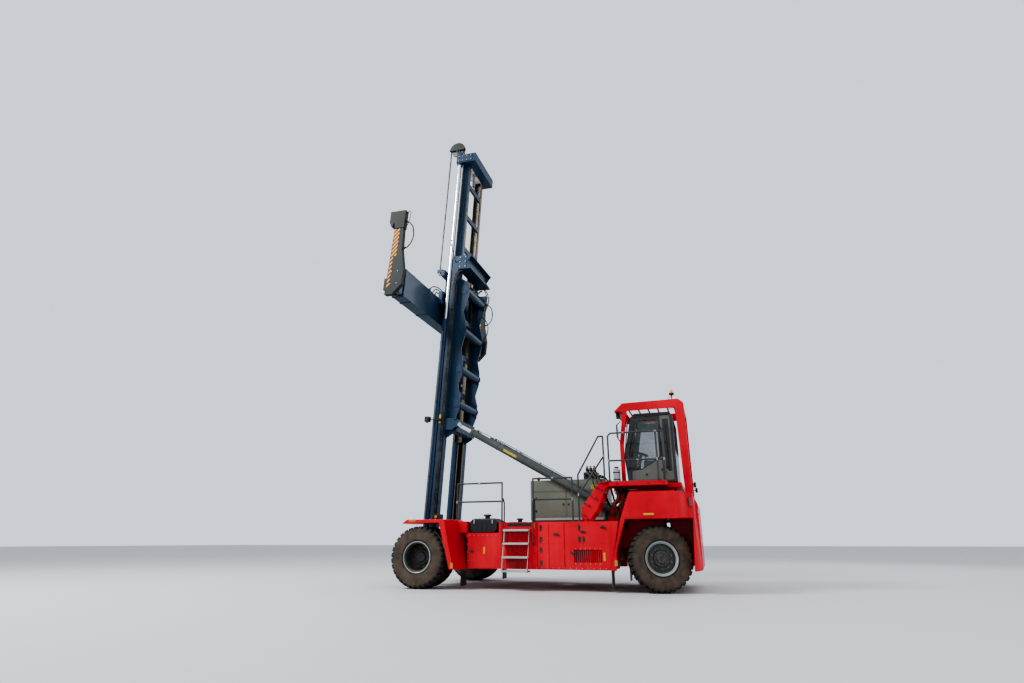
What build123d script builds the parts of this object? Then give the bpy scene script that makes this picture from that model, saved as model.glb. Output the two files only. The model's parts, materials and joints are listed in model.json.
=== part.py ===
from build123d import *
import math
import os

# Empty container handler, a mobile machine with a two-stage mast and a side-lift spreader.
# Everything is in millimetres. The machine is drawn with X forwards from a plane just behind the
# front axle, Y to the left and Z up from the ground, and MACHINE moves it to the part's origin.
ORIGIN_X = 2690

# Clearances: between flat seats, between rollers and their channels, and round a pin or a rod
SEAT_GAP = 0.3
RUN_GAP = 5
PIN_GAP = 0.3

# Wheels, axles and tyres (14.00-24, single at the back and twin at the front)
FRONT_AXLE = 80
REAR_AXLE = -5330
TYRE_R = 690
TYRE_W = 364
RIM_R = 310
RIM_HALF = 150
RIM_WALL = 15
RIM_LIP = 45
AXLE_Z = TYRE_R
HOUSING_R = 130
BOWL_R = 235
BOWL_X = FRONT_AXLE - 110
SPINDLE_R = 90
HUB_IN_Y = 1240
TWIN_OUT_Y = 1895
TWIN_IN_Y = 1475
REAR_WHEEL_Y = 1390
KINGPIN_Y = 1150
STUB_R = 70
STUB_LEN = 330
STEER_REST = 18

# Frame rails and body
RAIL_IN = 440
RAIL_OUT = 560
RAIL_LOW = 900
RAIL_TOP = 1300
DECK_Y = 855
BODY_Y = 1650
BODY_LOW = 445
BODY_TOP = 1460
FRONT_BOX_TOP = 1230
FENDER_Y = 2055
FENDER_TOP = 1528
COUNTER_Y = 1700
COUNTER_TOP = 2080
ARCH_TOP = 1500
ARCH_GAP = 32

# Mast: its own frame has X forwards from the tilt pivot and Z up along the uprights
PIVOT_X = 70
PIVOT_Z = 1100
TILT_BACK = 3
PIVOT_R = 45
MAST_LOW = -700
OUTER_TOP = 8050
OUT_IN_Y = 600
OUT_OUT_Y = 800
OUT_BACK = 170
OUT_FRONT = 365
FLANGE = 30
IN_IN_Y = 440
IN_OUT_Y = 575
IN_BACK = 180
IN_FRONT = 440
LIFT_REST = 3300
BARREL_X = 480
BARREL_Y = 700
BARREL_R = 100
BARREL_TOP = 6050
ROD_R = 60
SHEAVE_X = 593
SHEAVE_R = 220
CHAIN_T = 24
CHAIN_HALF = 25
ANCHOR_Z = 7700
ANCHOR_TOP = OUTER_TOP + 40

# Spreader and its end posts
BEAM_BACK = 745
BEAM_FRONT = 1100
BEAM_LOW = 5980
BEAM_TOP = 6750
BEAM_WALL = 20
ARM_T = 145
ARM_GAP = 10
BEAM_HALF = 2760
POST_W = 130
POST_OUT = 195
POST_Y = BEAM_HALF + POST_OUT + POST_W / 2
ARM_HELD = 880
ARM_LEN = POST_Y + ARM_HELD
POST_LOW = 5900
POST_TOP = 7830

# Tilt cylinders, mast eye and chassis eye in the machine's X and Z
TILT_Y = 700
MAST_EYE = (-250, 4050)
CHASSIS_EYE = (-4350, 1730)
EYE_GAP = 4
TILT_PIN_R = 45
MAST_PIN_R = 38
TILT_BARREL_R = 88

# Cab and its platform
CAB_Y = 740
CAB_FRONT = -4760
CAB_BACK = -5900
CAB_LOW = 2350
CAB_HIGH = 4010
HINGE_X = -5600
HINGE_Y = CAB_Y + 12
GUARD_Y = 860
PLATFORM_Z = 2320
PLATFORM_Y = 1600
PLATFORM_FRONT = -4420
FLOOR_Z = CAB_LOW + 60

MACHINE = Location((ORIGIN_X, 0, 0))
MAST = MACHINE * Location((PIVOT_X, 0, PIVOT_Z), (0, -TILT_BACK, 0))
SIDES = (("left", 1), ("right", -1))

os.makedirs("parts", exist_ok=True)


def save(name, part, place=MACHINE):
    """Moves a finished piece to its place in the machine and writes its STEP file."""
    solid = part.moved(place)
    solid.label = name
    export_step(solid, f"parts/{name}.step")


def block(x, y, z, mode=Mode.ADD):
    """A box between two X, two Y and two Z values."""
    with Locations(((x[0] + x[1]) / 2, (y[0] + y[1]) / 2, (z[0] + z[1]) / 2)):
        Box(abs(x[1] - x[0]), abs(y[1] - y[0]), abs(z[1] - z[0]), mode=mode)


def side_slab(points, y, mode=Mode.ADD, inset=0):
    """A flat outline in X and Z, as thick as the two Y values are apart, made smaller by inset."""
    with BuildSketch(Plane.XZ.offset(-max(y))) as outline:
        with BuildLine():
            Polyline(*points, close=True)
        make_face()
        if inset:
            offset(amount=-inset, kind=Kind.INTERSECTION, mode=Mode.REPLACE)
    extrude(outline.sketch, amount=abs(y[1] - y[0]), mode=mode)


def plan_slab(points, z, mode=Mode.ADD):
    """A flat outline in X and Y, as thick as the two Z values are apart."""
    with BuildSketch(Plane.XY.offset(min(z))) as outline:
        with BuildLine():
            Polyline(*points, close=True)
        make_face()
    extrude(outline.sketch, amount=abs(z[1] - z[0]), mode=mode)


def bar(start, end, radius, mode=Mode.ADD):
    """A round bar between two points."""
    run = Vector(*end) - Vector(*start)
    with Locations(Plane(origin=start, z_dir=run)):
        Cylinder(radius, run.length, align=(Align.CENTER, Align.CENTER, Align.MIN), mode=mode)


def cross_bar(x, z, radius, y, mode=Mode.ADD):
    """A round bar along Y."""
    bar((x, min(y), z), (x, max(y), z), radius, mode)


def railing(points, radius):
    """Round bars from point to point, with a ball at each corner."""
    for start, end in zip(points, points[1:]):
        bar(start, end, radius)
    for point in points[1:-1]:
        with Locations(point):
            Sphere(radius)


def y_pair(a, b, sign):
    """Two Y values on one side, lowest first."""
    return sorted((sign * a, sign * b))


# Chassis frame: two box rails, cross members and the forks that hold the mast pivot pins
RAIL_FRONT = 60
RAIL_OUTLINE = ((RAIL_FRONT, RAIL_LOW), (RAIL_FRONT, RAIL_TOP), (-5500, RAIL_TOP), (-5500, RAIL_LOW), (-4500, RAIL_LOW),
                (-4400, 560), (-1000, 560), (-900, RAIL_LOW))
CROSS_MEMBERS = ((-1100, -960, 600, 1250), (-2700, -2560, 600, 1250), (-4400, -4260, 620, 1250),
                 (-450, -200, 960, 1250), (-5480, -5200, 960, 1280))
FORKS = ((RAIL_OUT, 630), (770, 840))
with BuildPart() as chassis_frame:
    for _, sign in SIDES:
        side_slab(RAIL_OUTLINE, y_pair(RAIL_IN, RAIL_OUT, sign))
        for near, far in FORKS:
            fork = y_pair(near, far, sign)
            side_slab(((PIVOT_X, PIVOT_Z - 90), (PIVOT_X, PIVOT_Z + 90), (-300, 1250), (-450, 1250),
                       (-450, 960), (-300, 960)), fork)
            cross_bar(PIVOT_X, PIVOT_Z, 90, fork)
        block((-450, -250), y_pair(RAIL_OUT, 840, sign), (960, 1250))
        cross_bar(PIVOT_X, PIVOT_Z, PIVOT_R, y_pair(RAIL_OUT, 855, sign))
    for back, front, low, high in CROSS_MEMBERS:
        block((back, front), (-RAIL_IN, RAIL_IN), (low, high))
    block((-1799, -900), (-DECK_Y, DECK_Y), (RAIL_TOP, RAIL_TOP + 25))
    for _, sign in SIDES:
        side_slab(((CHASSIS_EYE[0] - 110, RAIL_TOP - 20), (CHASSIS_EYE[0] - 110, CHASSIS_EYE[1]),
                   (CHASSIS_EYE[0] - 60, CHASSIS_EYE[1] + 100), (CHASSIS_EYE[0] + 60, CHASSIS_EYE[1] + 100),
                   (CHASSIS_EYE[0] + 110, CHASSIS_EYE[1]), (CHASSIS_EYE[0] + 200, RAIL_TOP - 20)),
                  y_pair(RAIL_OUT - 60, RAIL_OUT, sign))
        cross_bar(CHASSIS_EYE[0], CHASSIS_EYE[1], TILT_PIN_R, y_pair(RAIL_OUT - 20, TILT_Y + 75, sign))
save("chassis_frame", chassis_frame.part)

# Drive axle: housing, differential bowl, input shaft, brake drums, spindles and frame pads
with BuildPart() as drive_axle:
    cross_bar(FRONT_AXLE, AXLE_Z, HOUSING_R, (-HUB_IN_Y, HUB_IN_Y))
    cross_bar(BOWL_X, AXLE_Z, BOWL_R, (-260, 260))
    bar((BOWL_X, 0, AXLE_Z), (BOWL_X - 450, 0, AXLE_Z), HOUSING_R)
    for _, sign in SIDES:
        block((RAIL_FRONT - 130, RAIL_FRONT), y_pair(RAIL_IN, RAIL_OUT, sign), (AXLE_Z, RAIL_LOW))
        cross_bar(FRONT_AXLE, AXLE_Z, 215, y_pair(HUB_IN_Y - 150, HUB_IN_Y, sign))
        cross_bar(FRONT_AXLE, AXLE_Z, SPINDLE_R, y_pair(HUB_IN_Y - 5, HUB_IN_Y + 360, sign))
save("drive_axle", drive_axle.part)

# Steer axle: a beam under the rails with a vertical boss at each end for the kingpin
with BuildPart() as steer_axle:
    block((REAR_AXLE - 110, REAR_AXLE + 110), (-KINGPIN_Y + 60, KINGPIN_Y - 60), (575, 795))
    block((REAR_AXLE - 90, REAR_AXLE + 90), (-RAIL_OUT, RAIL_OUT), (795, RAIL_LOW))
    cross_bar(REAR_AXLE - 190, AXLE_Z, 75, (-420, 420))
    block((REAR_AXLE - 190, REAR_AXLE), (-330, -250), (625, 745))
    block((REAR_AXLE - 190, REAR_AXLE), (250, 330), (625, 745))
    cross_bar(REAR_AXLE - 190, AXLE_Z, 35, (-560, 560))
    for _, sign in SIDES:
        bar((REAR_AXLE, sign * KINGPIN_Y, 575), (REAR_AXLE, sign * KINGPIN_Y, 795), 95)
    for _, sign in SIDES:
        bar((REAR_AXLE, sign * KINGPIN_Y, 570), (REAR_AXLE, sign * KINGPIN_Y, 800), 45 + PIN_GAP,
            mode=Mode.SUBTRACT)
save("steer_axle", steer_axle.part)

# Knuckles: a yoke round the axle's boss, its kingpin, the wheel spindle and a steering arm.
# Each is drawn straight about its kingpin and then turned to the angle at which it parks.
for side, sign in SIDES:
    steered = MACHINE * Location((REAR_AXLE, sign * KINGPIN_Y, 0), (0, 0, STEER_REST))
    with BuildPart() as knuckle:
        for low, high in ((505, 570), (800, 865)):
            block((-90, 90), y_pair(-70, 145, sign), (low, high))
        block((-90, 90), y_pair(105, 145, sign), (505, 865))
        bar((0, 0, 505), (0, 0, 865), 45)
        cross_bar(0, AXLE_Z, 95, y_pair(105, 175, sign))
        cross_bar(0, AXLE_Z, STUB_R, y_pair(145, STUB_LEN, sign))
        plan_slab(((-60, sign * -70), (-60, sign * 30), (-260, sign * -20), (-260, sign * -70)), (805, 850))
    save(f"knuckle_{side}", knuckle.part, steered)

# Tyres of flat faces: rings of corners round the axle, with a row of lugs on each shoulder.
# A lug takes two thirds of its pitch, and one lug of each row stands on the ground.
LIP_R = RIM_R + RIM_LIP
HALF_TYRE = TYRE_W / 2
LUGS = 26
LUG_PITCH = 2 * math.pi / LUGS
LUG_HALF = 1 / 3
NOTCH_SHARE = (TYRE_R - 30) / TYRE_R
FLAT_SHARE = 1 / math.cos(LUG_PITCH / 2)
TREAD_R = TYRE_R / math.cos(LUG_HALF * LUG_PITCH)
TYRE_RINGS = (  # radius, distance from the tyre's middle: bore, bead, widest, shoulder, tread
    ((RIM_R + SEAT_GAP) * FLAT_SHARE, RIM_HALF - SEAT_GAP),
    ((LIP_R + 6) * FLAT_SHARE, RIM_HALF - SEAT_GAP),
    ((LIP_R + TYRE_R) / 2 + 10, HALF_TYRE),
    (TYRE_R - 20, HALF_TYRE - 26),
    (TREAD_R, HALF_TYRE - 92))


def tyre_corner(ring, y, pitch):
    """A corner of a ring, at an angle counted in pitches from straight below the axle."""
    angle = pitch * LUG_PITCH
    return (ring * math.sin(angle), y, AXLE_Z - ring * math.cos(angle))


def tyre(centre_y):
    """A tyre about a wheel axis along Y, with its middle at centre_y."""
    outlines = []
    for lug in range(LUGS):
        before, start, end, after = lug - 0.5, lug - LUG_HALF, lug + LUG_HALF, lug + 0.5
        rows = []
        for edge in (-1, 1):
            bore, bead, wide, shoulder, tread = [(radius, centre_y + edge * width) for radius, width in TYRE_RINGS]
            low_shoulder = (shoulder[0] * NOTCH_SHARE, shoulder[1])
            low_tread = (tread[0] * NOTCH_SHARE, tread[1])
            rows.append((bore, tread))
            outlines += [
                ((bore, before), (bore, after), (bead, after), (bead, before)),
                ((bead, before), (bead, after), (wide, after), (wide, before)),
                ((wide, before), (wide, after), (shoulder, end), (shoulder, start)),
                ((wide, before), (shoulder, start), (low_shoulder, before)),
                ((wide, after), (shoulder, end), (low_shoulder, after)),
                ((shoulder, start), (shoulder, end), (tread, end), (tread, start)),
                ((low_shoulder, before), (shoulder, start), (tread, start), (low_tread, before)),
                ((low_shoulder, after), (shoulder, end), (tread, end), (low_tread, after)),
                ((low_tread, after), (tread, end), (tread, start + 1))]
        (near_bore, near_tread), (far_bore, far_tread) = rows
        outlines += [((near_bore, before), (near_bore, after), (far_bore, after), (far_bore, before)),
                     ((near_tread, start), (near_tread, end), (far_tread, end), (far_tread, start)),
                     ((near_tread, end), (near_tread, start + 1), (far_tread, start + 1), (far_tread, end))]
    faces = [Face(Wire.make_polygon([tyre_corner(*ring, pitch) for ring, pitch in outline], close=True))
             for outline in outlines]
    return Solid(Shell(faces))


def rim(x, piece_y, dish_y):
    """A rim barrel with lips about the axle at x, and a disc at dish_y that closes it round a hub."""
    cross_bar(x, AXLE_Z, RIM_R, (piece_y - RIM_HALF, piece_y + RIM_HALF))
    for edge in (-1, 1):
        lip = piece_y + edge * RIM_HALF
        cross_bar(x, AXLE_Z, LIP_R, (lip, lip + edge * 18))
    cross_bar(x, AXLE_Z, RIM_R - RIM_WALL, (piece_y - RIM_HALF - 20, piece_y + RIM_HALF + 20),
              mode=Mode.SUBTRACT)
    cross_bar(x, AXLE_Z, RIM_R - RIM_WALL / 2, (dish_y - 15, dish_y + 15))
    cross_bar(x, AXLE_Z, 190, (dish_y - 40, dish_y + 40))


# Twin front wheels: two rims bolted back to back on one hub that runs on the axle's spindle
NUT_RING_R = 225
for side, sign in SIDES:
    with BuildPart() as front_wheel:
        rim(FRONT_AXLE, sign * TWIN_OUT_Y, sign * (TWIN_OUT_Y - 145))
        rim(FRONT_AXLE, sign * TWIN_IN_Y, sign * (TWIN_IN_Y + 145))
        cross_bar(FRONT_AXLE, AXLE_Z, 180, y_pair(HUB_IN_Y + 20, TWIN_OUT_Y - 95, sign))
        cross_bar(FRONT_AXLE, AXLE_Z, 110, y_pair(TWIN_OUT_Y - 96, TWIN_OUT_Y - 45, sign))
        cross_bar(FRONT_AXLE, AXLE_Z, RIM_R - RIM_WALL / 2, y_pair(TWIN_IN_Y + 150, TWIN_OUT_Y - 150, sign))
        cross_bar(FRONT_AXLE, AXLE_Z, SPINDLE_R + PIN_GAP, y_pair(HUB_IN_Y + 10, HUB_IN_Y + 365, sign),
                  mode=Mode.SUBTRACT)
        with Locations(Plane(origin=(FRONT_AXLE, sign * (TWIN_OUT_Y - 130), AXLE_Z), z_dir=(0, sign, 0))):
            with PolarLocations(NUT_RING_R, 12):
                Cylinder(17, 40, align=(Align.CENTER, Align.CENTER, Align.MIN))
    save(f"wheel_front_{side}", front_wheel.part)
    for name, centre_y in (("outer", TWIN_OUT_Y), ("inner", TWIN_IN_Y)):
        save(f"tyre_front_{side}_{name}", tyre(sign * centre_y), MACHINE * Location((FRONT_AXLE, 0, 0)))

# Rear wheels: single rims on the knuckles' spindles, with a ring of nuts on the hub flange
for side, sign in SIDES:
    steered = MACHINE * Location((REAR_AXLE, sign * KINGPIN_Y, 0), (0, 0, STEER_REST))
    centre = REAR_WHEEL_Y - KINGPIN_Y
    with BuildPart() as rear_wheel:
        rim(0, sign * centre, sign * (centre + 60))
        cross_bar(0, AXLE_Z, 165, y_pair(190, centre + 130, sign))
        cross_bar(0, AXLE_Z, 105, y_pair(centre + 129, centre + 175, sign))
        cross_bar(0, AXLE_Z, STUB_R + PIN_GAP, y_pair(180, STUB_LEN + 5, sign), mode=Mode.SUBTRACT)
        with Locations(Plane(origin=(0, sign * (centre + 75), AXLE_Z), z_dir=(0, sign, 0))):
            with PolarLocations(NUT_RING_R - 15, 10):
                Cylinder(20, 45, align=(Align.CENTER, Align.CENTER, Align.MIN))
    save(f"wheel_rear_{side}", rear_wheel.part, steered)
    save(f"tyre_rear_{side}", tyre(sign * centre), steered)

# Front fenders: a flat top over the twins and a flank that runs back in to the body side
FENDER_SECTIONS = ((FENDER_Y, 0), (BODY_Y, 170))
FLAP_TOP = 430
for side, sign in SIDES:
    with BuildPart() as front_fender:
        for y, shift in FENDER_SECTIONS:
            with BuildSketch(Plane.XZ.offset(-sign * y)):
                with BuildLine():
                    Polyline((530, 1438), (400, FENDER_TOP), (-570 - shift, FENDER_TOP), (-850 - shift, FLAP_TOP),
                             (-740, FLAP_TOP), (-440, 1450), close=True)
                make_face()
        loft(ruled=True)
        side_slab(((400, FENDER_TOP), (530, 1438), (-440, 1450), (-740, FLAP_TOP), (-1020, FLAP_TOP),
                   (-740, FENDER_TOP)), y_pair(1300, BODY_Y, sign))
        side_slab(((-700, FENDER_TOP - 25), (-1010, FENDER_TOP - 40), (-1010, FRONT_BOX_TOP), (-800, FRONT_BOX_TOP)),
                  y_pair(DECK_Y + SEAT_GAP, BODY_Y, sign))
        cross_bar(FRONT_AXLE, AXLE_Z, TYRE_R + ARCH_GAP, y_pair(800, 2200, sign), mode=Mode.SUBTRACT)
        block((-400, 500), y_pair(1000, 1310, sign), (FENDER_TOP - 40, FENDER_TOP))
    save(f"front_fender_{side}", front_fender.part)

# Side cabinets: low box behind the fender, tall box behind the steps and on to the rear arch
CABINET_OUTLINE = ((-1025, BODY_LOW), (-1025, FRONT_BOX_TOP), (-1800, FRONT_BOX_TOP), (-1800, BODY_TOP),
                   (-4590, BODY_TOP), (-4410, BODY_LOW))
SEAMS_X = (-2740, -3010, -3370)
HINGES = ((-2810, 1330), (-2810, 1080), (-3700, 1330), (-3700, 1080), (-3800, 1080))
HANDLES = ((-3180, 1190), (-3800, 1240), (-4250, 1330), (-3560, 800))
GRILLE = (-4190, -3580, 600, 860)
SLATS = 13
for side, sign in SIDES:
    with BuildPart() as side_cabinet:
        side_slab(CABINET_OUTLINE, y_pair(RAIL_OUT + SEAT_GAP, BODY_Y, sign))
        for x in SEAMS_X:
            block((x - 5, x + 5), y_pair(BODY_Y - 8, BODY_Y + 5, sign), (BODY_LOW - 5, BODY_TOP - 40),
                  mode=Mode.SUBTRACT)
        block((GRILLE[0], GRILLE[1]), y_pair(BODY_Y - 40, BODY_Y + 5, sign), (GRILLE[2], GRILLE[3]),
              mode=Mode.SUBTRACT)
        for slat in range(SLATS):
            x = GRILLE[0] + 25 + slat * (GRILLE[1] - GRILLE[0] - 50) / (SLATS - 1)
            block((x - 9, x + 9), y_pair(BODY_Y - 45, BODY_Y - 8, sign), (GRILLE[2] - 5, GRILLE[3] + 5))
        for x, z in HINGES:
            block((x - 14, x + 14), y_pair(BODY_Y - 5, BODY_Y + 18, sign), (z - 55, z + 55))
        for x, z in HANDLES:
            block((x - 60, x + 60), y_pair(BODY_Y - 5, BODY_Y + 22, sign), (z - 12, z + 12))
    save(f"side_cabinet_{side}", side_cabinet.part)

# Air filter and cooler box on the low front box, a dark box with rounded upright corners
DARK_BOX_H = 310
for side, sign in SIDES:
    with BuildPart() as front_box:
        block((-1740, -1040), y_pair(1000, BODY_Y - 60, sign), (FRONT_BOX_TOP + SEAT_GAP, FRONT_BOX_TOP + DARK_BOX_H))
        chamfer(front_box.edges().filter_by(Axis.Y), 70)
    save(f"dark_box_{side}", front_box.part)

# Access steps: two stringers with four treads on each side
TREADS = ((1275, 1790), (985, 1830), (695, 1870), (405, 1900))
STEP_X = (-2560, -1960)
STEP_IN = BODY_Y + SEAT_GAP
with BuildPart() as access_steps:
    for _, sign in SIDES:
        for x in STEP_X:
            with BuildSketch(Plane.YZ.offset(x - 6)) as stringer:
                with BuildLine():
                    Polyline((sign * STEP_IN, 1300), (sign * (BODY_Y + 50), 1300), (sign * (BODY_Y + 255), 380),
                             (sign * (BODY_Y + 195), 380), (sign * STEP_IN, 1180), close=True)
                make_face()
            extrude(stringer.sketch, amount=12)
        for z, far in TREADS:
            block((STEP_X[0] - 6, STEP_X[1] + 6), y_pair(STEP_IN, far, sign), (z - 18, z + 18))
save("access_steps", access_steps.part)

# Battery box: a closed cabinet of cells behind the mast, on a plinth that stands on the rails
BATTERY_X = (-4135, -2280)
BATTERY_Z = (BODY_TOP + 60, 2490)
BATTERY_Y = 600
with BuildPart() as battery_box:
    block(BATTERY_X, (-RAIL_OUT + 20, RAIL_OUT - 20), (RAIL_TOP + SEAT_GAP, BATTERY_Z[0] + 30))
    block(BATTERY_X, (-BATTERY_Y, BATTERY_Y), BATTERY_Z)
    chamfer(battery_box.edges().filter_by(Axis.Z).group_by(Axis.X)[-1], 25)
    for _, sign in SIDES:
        block((-3210, -3200), y_pair(BATTERY_Y - 8, BATTERY_Y + 5, sign), (1580, 2450), mode=Mode.SUBTRACT)
        block((-4100, -2330), y_pair(BATTERY_Y - 8, BATTERY_Y + 5, sign), (2195, 2205), mode=Mode.SUBTRACT)
save("battery_box", battery_box.part)

# Counterweight: the cast rear body with an arch over each steered wheel and a top that falls at the back
REAR_X = -6290
CAST_R = 60
SLOPE_X = -5800
SLOPE_END = (-6195, COUNTER_TOP - 59)
COUNTER_OUTLINE = ((-4640, ARCH_TOP), (-4860, COUNTER_TOP), (SLOPE_X, COUNTER_TOP), SLOPE_END, (REAR_X, 1800),
                   (REAR_X + 20, 460), (-6100, 440), (-6165, ARCH_TOP))
CORNER = ((-6080, COUNTER_Y - 50), (-6200, COUNTER_Y - 160))


def counter_top(x):
    """The height of the counterweight's sloped top at x."""
    return COUNTER_TOP + (SLOPE_X - x) * (SLOPE_END[1] - COUNTER_TOP) / (SLOPE_X - SLOPE_END[0])


with BuildPart() as counterweight:
    side_slab(COUNTER_OUTLINE, (-COUNTER_Y, COUNTER_Y))
    fillet(counterweight.edges().filter_by(Axis.Y).group_by(Axis.Z)[-1], CAST_R)
    block((-6160, -5620), (-RAIL_OUT + 10, RAIL_OUT - 10), (520, ARCH_TOP + 10))
    for _, sign in SIDES:
        corner = [(-6400, sign * (COUNTER_Y + 10)), (-5900, sign * (COUNTER_Y + 10)), (-5900, sign * COUNTER_Y)]
        corner += [(x, sign * y) for x, y in CORNER]
        corner += [(REAR_X + 20, sign * (COUNTER_Y - 330)), (-6400, sign * (COUNTER_Y - 400))]
        plan_slab(corner, (300, 2200), mode=Mode.SUBTRACT)
        side_slab(((-4640, ARCH_TOP + 5), (-4750, ARCH_TOP + 5), (-4530, 850), (-4500, 440), (-4390, 440)),
                  y_pair(BODY_Y + SEAT_GAP, COUNTER_Y, sign))
        block((-5480, -4660), y_pair(RAIL_IN, RAIL_OUT, sign), (RAIL_TOP + SEAT_GAP, ARCH_TOP + 5))
save("counterweight", counterweight.part)

# Mudflaps behind the twins and in front of the steered wheels
with BuildPart() as mudflaps:
    for _, sign in SIDES:
        block((-880, -862), y_pair(1310, BODY_Y - 10, sign), (60, FLAP_TOP - SEAT_GAP))
        block((-4400, -4382), y_pair(1330, BODY_Y - 10, sign), (70, BODY_LOW - SEAT_GAP))
save("mudflaps", mudflaps.part)

# Stairs from the body deck up to the cab platform: two stringers, three treads and a landing
STAIR_Y = (1000, 1500)
LANDING_Z = PLATFORM_Z - 15
STRINGER = ((-3750, BODY_TOP + SEAT_GAP), (-3750, 1760), (-4170, LANDING_Z), (PLATFORM_FRONT + SEAT_GAP, LANDING_Z),
            (PLATFORM_FRONT + SEAT_GAP, LANDING_Z - 90), (-4330, LANDING_Z - 120), (-4140, 1740),
            (-3910, BODY_TOP + SEAT_GAP))
with BuildPart() as cab_stairs:
    for edge in (STAIR_Y[0], STAIR_Y[1] - 15):
        side_slab(STRINGER, (edge, edge + 15))
    for x, z in ((-3890, 1680), (-4040, 1890), (-4190, 2100)):
        block((x - 110, x + 90), (STAIR_Y[0] + 14, STAIR_Y[1] - 14), (z - 12, z + 12))
    block((PLATFORM_FRONT + SEAT_GAP, -4200), (STAIR_Y[0], STAIR_Y[1] + 45), (LANDING_Z - 5, LANDING_Z + 10))
save("cab_stairs", cab_stairs.part)

# Cab platform: a red deck frame on legs that stand on the counterweight and the rails
PLATFORM_T = 110
LEG_X = (-4980, -5720)
LEG_Y = 620
with BuildPart() as cab_platform:
    block((-5700, PLATFORM_FRONT), (-900, PLATFORM_Y), (PLATFORM_Z - PLATFORM_T, PLATFORM_Z))
    block((-5980, -5690), (-900, 900), (PLATFORM_Z - PLATFORM_T, PLATFORM_Z))
    block((-5660, PLATFORM_FRONT - 40), (-860, PLATFORM_Y - 40), (PLATFORM_Z - PLATFORM_T - 20, PLATFORM_Z - 50),
          mode=Mode.SUBTRACT)
    for y in (-LEG_Y, LEG_Y):
        for x in LEG_X:
            block((x - 60, x + 60), (y - 60, y + 60), (COUNTER_TOP + SEAT_GAP, PLATFORM_Z - 45))
        block((-5700, PLATFORM_FRONT - 30), (y - 40, y + 40), (PLATFORM_Z - PLATFORM_T, PLATFORM_Z - 45))
    for _, sign in SIDES:
        block((-4600, -4480), y_pair(RAIL_IN, RAIL_OUT, sign), (RAIL_TOP + SEAT_GAP, PLATFORM_Z - 45))
    for x in (CAB_FRONT - 140, CAB_BACK + 150):
        for y in (-CAB_Y + 140, CAB_Y - 140):
            bar((x, y, PLATFORM_Z - 10), (x, y, CAB_LOW - SEAT_GAP), 60)
save("cab_platform", cab_platform.part)

# Cab guard: bent front pillars, wide rear pillars on the counterweight and a roof with a visor
ROOF_OUTLINE = ((-4520, 4065), (-4735, 4265), (-6080, 4285), (-6190, 4190), (-6190, 4060), (-6080, 4075))
PILLAR_Z = PLATFORM_Z + SEAT_GAP
ROOF_BARS = 5
PILLAR_GAP = 85
PILLAR_DEPTH = 210
PILLAR_FRONT_X = CAB_BACK - PILLAR_GAP
PILLAR_FOOT_X = PILLAR_FRONT_X - 55
PILLAR_BACK_X = PILLAR_FRONT_X - PILLAR_DEPTH
with BuildPart() as cab_guard:
    side_slab(ROOF_OUTLINE, (-GUARD_Y, GUARD_Y))
    side_slab(((-4640, 4020), (-4720, 4235), (-5960, 4250), (-5960, 4020)), (-GUARD_Y + 25, GUARD_Y - 25),
              mode=Mode.SUBTRACT)
    side_slab(((-4640, 4100), (-4740, 4300), (-5960, 4300), (-5960, 4100)), (-GUARD_Y + 25, GUARD_Y - 25),
              mode=Mode.SUBTRACT)
    for _, sign in SIDES:
        side_slab(((-4745, 4140), (-4620, 3250), (-4620, PILLAR_Z), (-4715, PILLAR_Z), (-4715, 3250),
                   (-4850, 4140)), y_pair(GUARD_Y - 80, GUARD_Y, sign))
        side_slab(((PILLAR_FRONT_X, 4140), (PILLAR_FOOT_X, counter_top(PILLAR_FOOT_X) + SEAT_GAP),
                   (PILLAR_BACK_X, counter_top(PILLAR_BACK_X) + SEAT_GAP), (PILLAR_BACK_X, 4140)),
                  y_pair(GUARD_Y - 160, GUARD_Y, sign))
    for x in range(ROOF_BARS):
        block((-5800 + x * 240, -5760 + x * 240), (-GUARD_Y + 20, GUARD_Y - 20), (4200, 4240))
save("cab_guard", cab_guard.part)

# Cab shell: floor, pillars, roof and rear wall, hollow, with the door side open on the left
WAIST = (CAB_FRONT + 60, 2950)
BROW_Z = 3900
CAB_WALL = 45
CAB_OUTLINE = ((CAB_FRONT, CAB_LOW), WAIST, (CAB_FRONT - 130, BROW_Z), (CAB_FRONT - 230, CAB_HIGH),
               (CAB_BACK + 60, CAB_HIGH), (CAB_BACK, BROW_Z), (CAB_BACK, CAB_LOW))
CAB_INSIDE = ((CAB_FRONT - 60, FLOOR_Z), (CAB_FRONT, WAIST[1]), (CAB_FRONT - 185, BROW_Z - 20),
              (CAB_FRONT - 250, CAB_HIGH - 60), (CAB_BACK + 80, CAB_HIGH - 60), (CAB_BACK + 50, BROW_Z - 20),
              (CAB_BACK + 50, FLOOR_Z))
DOOR_LOW = CAB_LOW + 45
DOOR_TOP = 3925
DOOR_FRONT = ((-4850, DOOR_LOW), (-4800, 2960), (-4975, 3860), (-5030, DOOR_TOP))
DOOR_HOLE = (*DOOR_FRONT, (-5830, DOOR_TOP), (-5830, DOOR_LOW))
SIDE_WINDOW = ((-4860, 2560), (-4820, 2960), (-4985, 3830), (-5600, 3830), (-5600, 2860), (-5200, 2600))
SCREEN_Z = (2960, 3860)
LOWER_Z = (2560, 2900)
BACK_Z = (3100, 3840)
HATCH_X = (-5650, -5150)
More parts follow.
